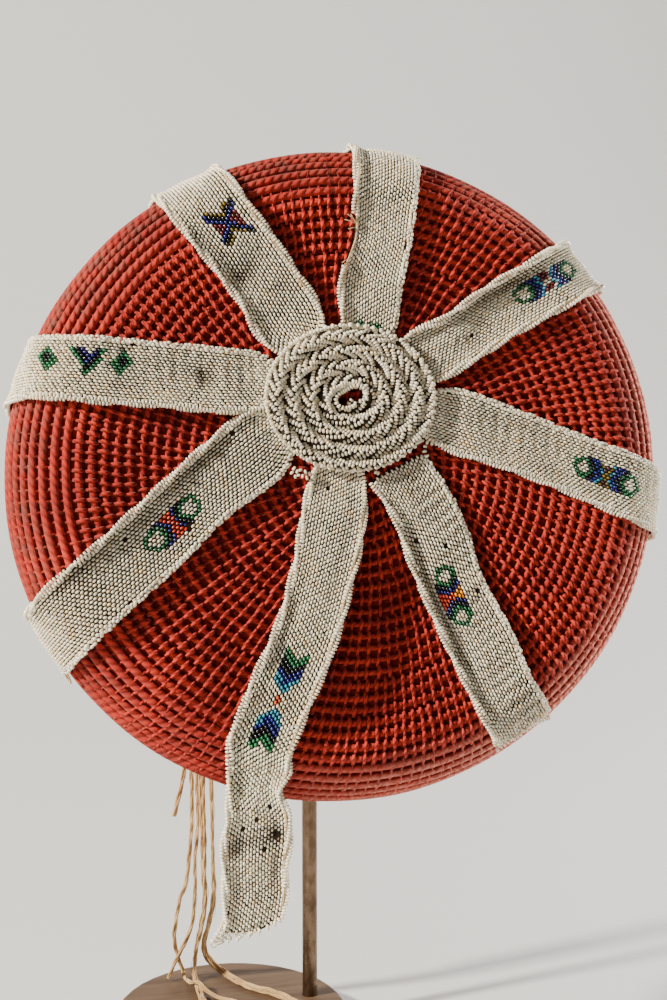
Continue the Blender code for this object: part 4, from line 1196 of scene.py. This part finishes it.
def sunkAt(name, along, across):
    # how far the beads of a strip lie below its seat, and how much they are darkened or paled: painted shade
    # in dents, folds and wrinkles, real stains, and painted light on the bottom strip's hanging end
    dark = np.zeros_like(along)
    shift = 2.1 * len(name) + 5.0 * bands[name]["length"] * 100
    sunk = np.sin(along * 190 + across * 1.3 + shift) + 0.8 * np.sin(along * 83 - across * 2.1 + 2 * shift)
    sunk = bandLook["rippleHigh"] * sunk
    for k, side in enumerate((1, -1)):
        if edgeKinds[name][k] == "rope":
            dish = smoothStep(across * side, 0.52, 0.90) - 0.4 * smoothStep(across * side, 0.1, 0.5)
            sunk = sunk - bandLook["dishHigh"] * dish
    # each dent sinks the beads and darkens them: painted shade, but real stains on the bottom strip's hanging
    # end
    for a, c, reachAlong, reachAcross, deep, shade in dentsShadeAndStains.get(name, []):
        near = np.exp(-((along - a) / reachAlong) ** 2 - ((across - c) / reachAcross) ** 2)
        sunk, dark = sunk + deep * near, np.maximum(dark, shade * near)
    if name in wrinkles:
        tall, pitch, side = wrinkles[name]
        fold = np.sin(fullTurn * along / pitch + 2.0 * across + 1.5 * np.sin(along * 61))
        fold = fold * smoothStep(across * side, -0.5, 0.2)
        # painted shade in the wrinkles' troughs
        sunk, dark = sunk + tall * fold, np.maximum(dark, 0.34 * np.clip(fold - 0.25, 0, 1))
    # painted light: the beads grow paler over the last 3 cm before the hanging end, and stay paler all down
    # it
    if name == "strip_bottom":
        length = bands[name]["length"]
        dark = dark - bandLook["paintedLightOnHang"] * smoothStep(along, length - 0.03, length)
    return sunk, dark


def bandTurns(band, along, across, high, alongEdge):
    # directions for beads at these places: their bore, and straight up from the strip
    step = 0.0006
    half = bandWidthAt(band, along) / 2
    ahead = unit(bandPlaces(band, along + step, across, high) - bandPlaces(band, along - step, across, high))
    aside = unit(bandPlaces(band, along, across + step / half, high)
                 - bandPlaces(band, along, across - step / half, high))
    up = np.cross(ahead, aside)
    return (ahead, up, aside) if alongEdge else (aside, up, ahead)


def beadTint(count, dark):
    base = np.array(beadColours["w"][:3]) * dice.uniform(0.78, 1.0, (count, 1))
    kind = dice.random(count)
    for low, high, tint in beadTints:
        base[(kind >= low) & (kind < high)] *= tint
    base = np.minimum(base * (1 - dark[:, None] * np.array([0.80, 0.83, 0.88])), 0.95)
    return np.concatenate([base, np.ones((count, 1))], axis=1)


def bandBeads(name):
    # the beads of one strip's field, laid like bricks, with its motifs
    band, look = bands[name], bandLook
    rows = int(band["total"] / beadwork["beadPitch"])
    row, column = np.meshgrid(np.arange(rows), np.arange(look["columns"]), indexing="ij")
    row, column = row.ravel(), column.ravel()
    along = (row + 0.55 + 0.5 * (column % 2)) * beadwork["beadPitch"]
    half = bandWidthAt(band, along) / 2
    spaced = np.maximum(2 * half * look["reach"] / (look["columns"] - 1), look["leastPitch"])
    across = (column - (look["columns"] - 1) / 2) * spaced / half
    if name == "strip_bottom":
        # towards the tip the columns run on straight, and the slanting end cuts them off
        share = (along - band["length"]) / beadwork["drop"]
        tip = share > look["tipFrom"]
        drift, width = smoothRead(dropRows, share[tip])[:2]
        firstDrift, firstWidth = smoothRead(dropRows, look["tipFrom"])[:2, 0]
        sideways = (column[tip] - (look["columns"] - 1) / 2) * 2 * look["reach"] / (look["columns"] - 1)
        sideways = firstDrift + look["tipLean"] * (share[tip] - look["tipFrom"]) + sideways * firstWidth / 2
        across[tip] = (sideways - drift) / np.maximum(width / 2, 0.01)
    keep = (np.abs(across) < look["reach"] + 0.01) & (along < band["total"] - 0.0008)
    keep &= dice.random(len(along)) > look["lost"]
    for a, c, reach in missing.get(name, []):
        keep &= np.hypot(along - a, (across - c) * half) > reach
    for k, side in enumerate((1, -1)):
        if edgeKinds[name][k] == "rope":
            keep &= across * side < look["ropeSide"]
    marks = np.full(len(along), ".", dtype="<U1")
    for a, c, motif in motifs[name]:
        drawn = motif((along - a) / (beadwork["beadPitch"] / 2), (across - c) * half / spaced)
        marks = np.where(drawn != ".", drawn, marks)
    along, across, marks = along[keep], across[keep], marks[keep]
    sunk, dark = sunkAt(name, along, across)
    tints = beadTint(len(along), dark)
    for letter in sorted(set(marks) - {"."}):
        chosen = marks == letter
        tints[chosen, :3] = np.array(beadColours[letter][:3]) * dice.uniform(0.75, 1.2, (chosen.sum(), 1))
        tints[chosen, :3] *= 1 - 0.5 * dark[chosen][:, None]
    high = look["beadHigh"] - sunk + dice.normal(0, look["shift"], len(along))
    points = bandPlaces(band, along + dice.normal(0, look["shift"], len(along)), across, high)
    bore, up, ahead = bandTurns(band, along, across, high, False)
    count = len(along)
    bore = bore + ahead * dice.normal(0, look["lean"], (count, 1))
    bore = bore + up * dice.normal(0, look["lean"], (count, 1))
    long = beadwork["beadLong"] * dice.uniform(0.90, 1.06, count)
    if name == "strip_bottom":
        long = long * (1 + 0.12 * smoothStep(along, band["length"] - 0.03, band["length"]))
    wide = 2 * beadwork["beadRound"] * dice.uniform(0.92, 1.06, count)
    return points, turnsOf(bore, up), np.stack([long, wide, wide], axis=-1), tints


def edgeBeads(name, side):
    # the beads that finish one long edge: a rope with its bores along it, or a fringe that sticks out
    band, look = bands[name], bandLook
    kind = edgeKinds[name][0 if side > 0 else 1]
    pitch = look["ropePitch"] if kind == "rope" else look["fringePitch"] / 2
    last = band["total"] - 0.0008
    count = int((last - 0.002) / pitch)
    along = 0.002 + np.arange(count) * pitch
    half = bandWidthAt(band, along) / 2
    if kind == "rope":
        turn = np.radians(np.arange(count) * look["ropeTwistDeg"]) + dice.normal(0, 0.15, count)
        across = side * (0.955 + look["ropeRound"] * np.cos(turn) / half)
        high = look["ropeHigh"] + 0.0009 * np.sin(turn)
    else:
        odd = np.arange(count) % 2
        across = side * (0.965 + (0.0014 * odd + dice.uniform(-0.0002, 0.0007, count)) / half)
        high = 0.0017 - 0.0004 * odd + dice.normal(0, 0.0002, count)
        along = along + dice.normal(0, 0.00025, count)
    keep = half > 0.0014
    along, across, high = along[keep], across[keep], high[keep]
    for a, c, reach in missing.get(name, []):
        if c * side > 0.9:
            near = np.abs(along - a) < reach
            along, across, high = along[~near], across[~near], high[~near]
    points = bandPlaces(band, along, across, high)
    bore, up, other = bandTurns(band, along, across, high, kind == "rope")
    bore = bore + other * dice.normal(0, 0.12, (len(along), 1)) + up * dice.normal(0, 0.12, (len(along), 1))
    sunk, dark = sunkAt(name, along, across)
    long = look["ropeLong"] if kind == "rope" else look["fringeLong"]
    size = np.array([long, look["edgeWide"], look["edgeWide"]]) * dice.uniform(0.92, 1.07, (len(along), 1))
    return points, turnsOf(bore, up), size, beadTint(len(along), dark * 0.6)


def endGroup(band, along, across, high, long, lean):
    # beads past the strip's field, with their bores across it
    count = len(along)
    bore, up, other = bandTurns(band, along, across, high, False)
    bore = bore + other * dice.normal(0, lean, (count, 1))
    sizes = np.tile([long, bandLook["edgeWide"], bandLook["edgeWide"]], (count, 1))
    return bandPlaces(band, along, across, high), turnsOf(bore, up), sizes, beadTint(count, np.zeros(count))


def endBeads(name):
    # the beads along a strip's far end
    band = bands[name]
    count = int(2 * halfWidthAt(band, band["total"]) / bandLook["endPitch"])
    across = np.linspace(-0.96, 0.96, count)
    turn = np.radians(np.arange(count) * bandLook["ropeTwistDeg"])
    along = band["total"] - 0.0002 + 0.0010 * np.cos(turn)
    if name == "strip_lower_right":
        along = along + dice.uniform(-0.0002, 0.0016, count) + 0.0016 * np.abs(across) ** 8
    return endGroup(band, along, across, 0.0017 + 0.0008 * np.sin(turn), bandLook["endLong"], 0.1)


def growBeads(name, shape, groups, seed):
    # one piece from groups of beads, each with its places, turns, sizes and tints
    points, turns, sizes, tints = (np.concatenate(part) for part in zip(*groups))
    carried = [("turn", "QUATERNION", turns), ("size", "FLOAT_VECTOR", sizes), ("tint", "FLOAT_COLOR", tints)]
    settings = {"Shape": shape, "Size": 1.0, "Uneven": 0.03, "Seed": seed, "Finish": beadGlass}
    return growPiece(name, points, [], carried, scatterTree, settings)


def faceOut(made):
    # every face of a closed mesh looks outward
    work = bmesh.new()
    work.from_mesh(made.data)
    bmesh.ops.recalc_face_normals(work, faces=work.faces)
    work.to_mesh(made.data)
    work.free()
    return made


def bandThread(name):
    # the cloth of thread that carries a strip's beads
    band, look = bands[name], bandLook
    count = max(3, int(band["total"] / look["threadStep"]))
    last = band["total"] - (look["tipBare"] if name == "strip_bottom" else 0.0004)
    across = np.linspace(-look["threadReach"], look["threadReach"], look["threadColumns"])
    ring = np.concatenate([across, across[::-1]])
    high = np.repeat([look["threadHigh"], look["threadLow"]], len(across))
    places = np.linspace(0.0004, last, count + 1)
    along, ring = (part.ravel() for part in np.meshgrid(places, ring, indexing="ij"))
    raised = np.maximum(np.tile(high, count + 1) - 0.6 * sunkAt(name, along, ring)[0], 0.00012)
    if name == "strip_bottom":
        hanging = smoothStep(along, band["length"] + 0.004, band["length"] + 0.020)
        raised = raised + look["hangRaise"] * hanging
    rings = numberRings(count + 1, len(high))
    faces = [rings[0], rings[-1][::-1]] + [face[:1] + face[:0:-1] for face in ringFaces(rings)]
    return faceOut(linkMesh(name + "_thread", bandPlaces(band, along, ring, raised), faces, threadWithGapShade))


smallBead = makeBead("bead", [(-0.5, 0.0), (-0.27, 0.5), (0.27, 0.5), (0.5, 0.0)], 6)

# strip: side of the edge, and from where to where a bare thread shows beside its beads
edgeThreads = {"strip_bottom": (1, 0.010, 0.262), "strip_upper_left": (-1, 0.030, 0.150),
               "strip_upper_right": (-1, 0.040, 0.150), "strip_top": (1, 0.008, 0.150)}

# strip: loose ends of its thread, as place along, side, how far they stick out and how far they lean
looseEnds = {
    "strip_top": [
        (0.0665, 1, 0.0060, 0.0040), (0.0660, 1, 0.0075, 0.0010), (0.0640, 1, 0.0050, -0.0020),
        (0.0650, 1, 0.0042, 0.0060), (0.0450, 1, 0.0030, -0.0040), (0.0430, 1, 0.0024, -0.0055),
        (0.0105, 1, 0.0040, -0.0050)],
    "strip_lower_left": [(0.1440, 1, 0.0030, 0.0040)],
}

# strip: a loop of thread at its end, as place past the end, place across, reach along and across, thickness
threadLoops = {
    "strip_bottom": (-0.0003, 0.0, 0.0018, 0.0015, 0.00036),
    "strip_lower_left": (0.0010, 1.16, 0.0042, 0.0030, 0.00055),
}

# strip: loose beads past its end, as place past the end, place across and height
looseBeads = {
    "strip_lower_left": [
        (0.0008, -1.02, 0.0022), (0.0028, -1.06, 0.0024), (0.0046, -1.10, 0.0022), (0.0062, -1.00, 0.0018),
        (0.0050, -0.90, 0.0018), (0.0034, -1.22, 0.0020)],
    "strip_lower_right": [(0.0026, -0.98, 0.0022), (0.0030, 0.94, 0.0022), (0.0048, 0.96, 0.0020)],
}


def edgeThreadLines(name):
    # the lines of a strip's bare thread, each with its thickness
    band, lines = bands[name], []
    if name in edgeThreads:
        side, start, end = edgeThreads[name]
        along = np.arange(start, end, 0.0012)
        across = side * (0.895 + 0.012 * np.sin(along * 300))
        lines.append((along, across, 0.0031 + 0.0003 * np.sin(along * 410), 0.00062))
    half = halfWidthAt(band, 0.06)
    t = np.linspace(0, 1, 7)
    for start, side, out, lean in looseEnds.get(name, []):
        high = 0.0026 + 0.0016 * np.sin(2.6 * t)
        lines.append((start + lean * t, side * (0.90 + out / half * t), high, 0.00026))
    if name in threadLoops:
        past, middle, reachAlong, reachAcross, thick = threadLoops[name]
        half = halfWidthAt(band, band["total"])
        turn = np.linspace(0, fullTurn, 19)
        along = band["total"] + past - reachAlong * np.cos(turn)
        across = middle + reachAcross / half * np.sin(turn)
        lines.append((along, across, 0.0018 + 0.0004 * np.sin(turn), thick))
    return lines


def makeEdgeThread(name):
    # the bare thread beside a strip's beads, with its loose ends and its loop
    lines = []
    for along, across, high, size in edgeThreadLines(name):
        points = bandPlaces(bands[name], along, across, high)
        facing = unit(bandPlaces(bands[name], along, across, high + 0.0015) - points)
        lines.append((points, size * (1 + 0.15 * np.sin(along * 500)), facing))
    return growCords(name + "_edge_thread", lines, 6, sewingThread)


for number, (name, band) in enumerate(bands.items()):
    groups = [bandBeads(name), edgeBeads(name, 1), edgeBeads(name, -1)]
    if name != "strip_bottom":
        groups.append(endBeads(name))
    if name in looseBeads:  # single beads that hang on past the strip's end
        past, across, high = np.array(looseBeads[name]).T
        groups.append(endGroup(band, band["total"] + past, across, high, bandLook["looseLong"], 0.9))
    sewn = [growBeads(name + "_beads", smallBead, groups, number)]
    thread = bandThread(name)
    if name in edgeThreads or name in threadLoops:
        sewn.append(makeEdgeThread(name))
    finishPiece(thread, name)
    for piece in sewn:
        finishPiece(piece)
    wide = bandWidthAt(band, np.linspace(0, band["total"], 200)) * bandLook["threadReach"]
print("the strips are beaded")


# The rosette: short strings of beads in a herringbone along a spiral rope, over its dark core

rosetteLook = {
    "foot": 0.74, "edgeShare": 0.07, "edgeHeight": 0.35, "ridgePower": 0.95, "groove": 0.0052,
    "under": 0.0038, "edgeTo": 0.975,
    "beadLong": 0.00164, "beadWide": 0.00270, "beadDeep": 0.00136, "stringGap": 0.00254, "beadsOut": 9,
    "firstAside": 0.0005, "halfRope": 0.0043, "beadStep": 0.00176, "leanInner": 20.0, "leanOuter": 25.0,
    "leanUneven": 0.07, "innerCount": 0.05, "stringShift": 0.00028,
    "holeRings": ((0.158, 0.0078, 0.0009), (0.150, 0.0052, 0.0006)),
    "holeStretch": 0.036, "holeTurnDeg": 62.0, "holeReach": 0.50,
    "looseBeads": (  # short runs of beads: across, up and height over the hat, from the rosette's middle
        ((-0.0016, -0.0072, 0.0062), (-0.0018, -0.0052, 0.0050), (-0.0012, -0.0032, 0.0052),
         (0.0002, -0.0015, 0.0060)),
        ((0.0385, -0.0232, 0.0050), (0.0413, -0.0216, 0.0048), (0.0402, -0.0255, 0.0036),
         (0.0431, -0.0266, 0.0036), (0.0459, -0.0272, 0.0034)),
        ((0.0419, -0.0288, 0.0032), (0.0413, -0.0316, 0.0034), (0.0425, -0.0344, 0.0040)),
        ((-0.0350, -0.0389, 0.0060), (-0.0333, -0.0406, 0.0058), (-0.0316, -0.0400, 0.0062),
         (-0.0327, -0.0428, 0.0056), (-0.0304, -0.0434, 0.0058), (-0.0281, -0.0445, 0.0060),
         (-0.0264, -0.0423, 0.0058), (-0.0247, -0.0440, 0.0060)),
        ((-0.0287, -0.0412, 0.0066), (-0.0344, -0.0434, 0.0052), (-0.0362, -0.0412, 0.0054)),
        ((0.0121, -0.0423, 0.0034), (0.0136, -0.0430, 0.0032)),
    ),
    "coreDeep": 0.0016, "coreRings": 40, "coreSegments": 96, "beadSides": 8,
}
ovalInner = beadwork["ovalHole"] / beadwork["ovalWide"]
ovalSize = (beadwork["ovalWide"] + beadwork["ovalHigh"]) / 2


def rosetteTop(share, turn):
    # the height of the rope's ridges and grooves, lower at the rosette's edge
    inward = (share - ovalInner) / (1 - ovalInner) * beadwork["ovalTurns"] + turn / fullTurn
    ridge = np.abs(np.sin(math.pi * (inward % 1.0))) ** rosetteLook["ridgePower"]
    height = beadwork["ovalHeight"] - rosetteLook["groove"] * (1 - ridge)
    edge = np.sqrt(np.clip((1.0 - share) / rosetteLook["edgeShare"], 0, 1))
    rise = rosetteLook["edgeHeight"] + (1.0 - rosetteLook["edgeHeight"]) * edge
    return rosetteLook["under"] + (height - rosetteLook["under"]) * rise


def rosettePlaces(share, turn, high):
    # the hole is a slanting oval, and the turns round it follow its shape
    near = 1 - smoothStep(share, ovalInner, rosetteLook["holeReach"])
    stretch = rosetteLook["holeStretch"] * np.cos(2 * (turn - math.radians(rosetteLook["holeTurnDeg"])))
    share = share + stretch * near
    across = beadwork["ovalAcross"] + share * beadwork["ovalWide"] * np.sin(turn)
    up = beadwork["ovalUp"] + share * beadwork["ovalHigh"] * np.cos(turn)
    return skinPoints(across, up, high)


def rosetteFrame(share, turn, high, step=0.02):
    # places on the rosette, with the directions outward, round and up there
    points = rosettePlaces(share, turn, high)
    out = unit(rosettePlaces(share + 0.01, turn, high) - points)
    around = unit(rosettePlaces(share, turn + step, high) - points)
    return points, out, around, unit(rosettePlaces(share, turn, high + 0.001) - points)


def beadGroup(points, bore, up, dark, narrow=1.0):
    count, wide = len(points), rosetteLook["beadWide"] * narrow
    sizes = np.tile([rosetteLook["beadLong"], wide, wide], (count, 1)) * dice.uniform(0.93, 1.06, (count, 1))
    return points, turnsOf(bore, up), sizes, beadTint(count, np.full(count, dark))


def ropeSpots():
    # from the hole's edge outward, strings of beads to both sides of the rope's middle line
    look, spots, count = rosetteLook, [], rosetteLook["innerCount"]
    while count < beadwork["ovalTurns"] + 0.48:
        share = ovalInner + (1 - ovalInner) / beadwork["ovalTurns"] * count
        turn = -fullTurn * (count - 0.5)
        radius = max(share * ovalSize, 0.004)
        lean = look["leanInner"] + (look["leanOuter"] - look["leanInner"]) * min(1.0, share * 1.1)
        lean = math.radians(lean)
        pitch = look["stringGap"] / math.sin(lean)
        for side in (-1, 1):
            angle = max(lean + dice.normal(0, look["leanUneven"]), 0.2)
            raised = dice.normal(0, look["stringShift"])
            stepOut, stepBack = look["beadStep"] * math.sin(angle), look["beadStep"] * math.cos(angle)
            beads = int(round((look["halfRope"] - look["firstAside"]) / stepOut)) + 1
            for i in range(min(beads, look["beadsOut"])):
                place = share + side * (look["firstAside"] + i * stepOut) / ovalSize
                back = i * stepBack + (0.5 * pitch if side > 0 else 0.0)
                if ovalInner * 0.95 < place < 0.985:
                    spots.append((place, turn + back / radius, side, angle, raised))
        count += pitch / (fullTurn * radius)
    return np.array(spots).T


def ropeBeads():
    # the beads of the spiral rope, their bores slanting down and out from its ridge
    share, turn, side, angle, raised = ropeSpots()
    high = rosetteTop(share, turn) - rosetteLook["beadDeep"] + raised + dice.normal(0, 0.00010, len(share))
    points, out, around, up = rosetteFrame(share, turn, high)
    rise = rosetteTop(share + 0.01 * side, turn) - rosetteTop(share - 0.01 * side, turn)
    slope = rise / (0.02 * ovalSize)
    bore = out * (side * np.sin(angle))[:, None] + around * np.cos(angle)[:, None]
    bore = bore + up * (np.clip(slope, -1.0, 1.0) * np.sin(angle))[:, None] + dice.normal(0, 0.05, bore.shape)
    return beadGroup(points, bore, up, 0.08)


def holeBeads(share, high, tall):
    # one ring of beads down the side of the hole
    turn = np.arange(0, fullTurn, rosetteLook["beadStep"] / (share * ovalSize)) + dice.uniform(0, 1)
    waver = high + tall * np.sin(turn * 2 + share * 40)
    places = share + 0.006 * np.sin(turn * 3 + share * 90)
    points, _, around, up = rosetteFrame(places, turn, waver, 0.05)
    return beadGroup(points, around, up, 0.06)


def rimBeads():
    # the zigzag of beads round the rosette's outer edge
    turn = np.arange(0, fullTurn, 0.0021 / ovalSize)
    odd = np.arange(len(turn)) % 2
    high = 0.0050 + 0.0018 * odd + dice.normal(0, 0.0002, len(turn))
    points, out, _, up = rosetteFrame(rosetteLook["edgeTo"] + 0.014 * odd, turn, high)
    bore = up * 0.8 + np.cross(up, out) * 0.7 + dice.normal(0, 0.15, up.shape)
    return beadGroup(points, bore, out, 0.06, 0.95)


def looseRun(run):
    # a short run of beads that lies loose, bores along it
    across, up, high = np.array(run).T
    across, up = across + beadwork["ovalAcross"], up + beadwork["ovalUp"]
    points = skinPoints(across, up, high)
    return beadGroup(points, np.gradient(points, axis=0), skinPoints(across, up, high + 0.001) - points, 0.10)


def rosetteCore():
    look, rings = rosetteLook, []
    turn = np.arange(look["coreSegments"]) * fullTurn / look["coreSegments"]
    for share in ovalInner + (look["edgeTo"] - ovalInner) * np.linspace(0, 1, look["coreRings"]):
        rings.append(rosettePlaces(share, turn, rosetteTop(share, turn) - look["coreDeep"]))
    outer, foot = look["edgeTo"], look["foot"]
    for share, high in ((outer, 0.0040), (foot, 0.0040), (foot, 0.0003), (ovalInner, 0.0003)):
        rings.append(rosettePlaces(share, turn, high))
    numbers = numberRings(len(rings), len(turn))
    faces = ringFaces(numbers + numbers[:1])
    return faceOut(linkMesh("rosette_core", np.concatenate(rings), faces, threadWithGapShade))


roundRows = [(-0.5, 0.0), (-0.40, 0.36), (-0.17, 0.5), (0.17, 0.5), (0.40, 0.36), (0.5, 0.0)]
roundBead = makeBead("round bead", roundRows, rosetteLook["beadSides"])
finishPiece(rosetteCore(), "rosette")
groups = [ropeBeads()]
groups += [holeBeads(*ring) for ring in rosetteLook["holeRings"]]
groups.append(rimBeads())
groups += [looseRun(run) for run in rosetteLook["looseBeads"]]
finishPiece(growBeads("rosette_beads", roundBead, groups, 31))
print("the rosette is beaded")


# The plant fibre strands: three plies twisted round each strand's line, and loose hairs

strandLook = {
    "plies": 3, "turnsPerMetre": 24.0, "sides": 6, "step": 0.0014, "plyShare": 0.30, "thickShare": 0.35,
    "wander": 0.10, "pairFrom": 0.003, "hairs": 12, "hairThick": 0.00013, "hairSteps": 6, "smoothSteps": 16,
}


def smoothRoute(route, spacing):
    # points a spacing apart on the smooth curve through a route's points
    points = np.array(route)
    ends = np.concatenate([[points[0] * 2 - points[1]], points, [points[-1] * 2 - points[-2]]])
    fine = []
    for a, b, c, d in zip(ends, ends[1:], ends[2:], ends[3:]):
        for i in range(strandLook["smoothSteps"]):
            t = i / strandLook["smoothSteps"]
            bend = (a * 2 - b * 5 + c * 4 - d) * t**2 + (b * 3 - a - c * 3 + d) * t**3
            fine.append((b * 2 + (c - a) * t + bend) / 2)
    fine = np.array(fine + [points[-1]])
    lengths = np.concatenate([[0.0], np.cumsum(np.linalg.norm(np.diff(fine, axis=0), axis=1))])
    places = np.linspace(0, lengths[-1], int(lengths[-1] / spacing) + 1)
    return np.stack([np.interp(places, lengths, fine[:, k]) for k in range(3)], axis=-1), float(lengths[-1])


def makeStrand(name, number):
    look = strandLook
    diameter, route = strandRoutes[name]
    line, length = smoothRoute(route, look["step"])
    ahead = unit(np.gradient(line, axis=0))
    aside = unit(np.cross(ahead, np.array([0.31, 0.95, 0.05])))
    other = np.cross(ahead, aside)
    along = np.linspace(0, length, len(line))

    def sideways(turn):
        return aside * np.cos(turn)[:, None] + other * np.sin(turn)[:, None]

    pair = 2 if diameter > look["pairFrom"] else 1
    part, lines = diameter / pair, []
    for strand in range(pair):
        middle = line
        if pair == 2:
            middle = line + sideways(along * 9.0 + strand * math.pi + number) * part * 0.5
        for ply in range(look["plies"]):
            turn = along * look["turnsPerMetre"] * fullTurn + ply * fullTurn / look["plies"] + strand * 1.3
            away = sideways(turn)
            out = look["plyShare"] + look["wander"] * np.sin(along * 55 + ply * 2.4 + number)
            swell = 1 + 0.12 * np.sin(along * 260 + ply * 2 + number) + 0.08 * np.sin(along * 97 + strand)
            lines.append((middle + away * (part * out)[:, None], part * look["thickShare"] * swell, away))
    steps = np.arange(look["hairSteps"])
    for hair in range(look["hairs"]):
        # a loose hair leaves the strand, bends away and comes down beside it
        start = int(dice.integers(12, len(line) - 20))
        turn = dice.uniform(0, 6.28)
        away = aside[start] * math.cos(turn) + other[start] * math.sin(turn)
        lift = diameter * 0.3 + dice.uniform(0.0006, 0.0014) * np.sin(steps / look["hairSteps"] * 2.4)
        points = line[start + steps * 2] + away * lift[:, None]
        lines.append((points, np.full(len(steps), look["hairThick"]), np.tile(away, (len(steps), 1))))
    made = growCords(name + "_fibre", lines, look["sides"], plantFibre)
    finishPiece(made, name)


for number, name in enumerate(strandRoutes):
    makeStrand(name, number)
print("the strands are twisted")


# The stand keeps its own solids, with finishes that show its wood and its browned steel

for name, material in (("stand_rod", patinaSteel), ("stand_base", stainedWood)):
    for slot in bpy.data.objects[name].material_slots:
        slot.material = material
print("the stand is finished")

low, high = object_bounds()
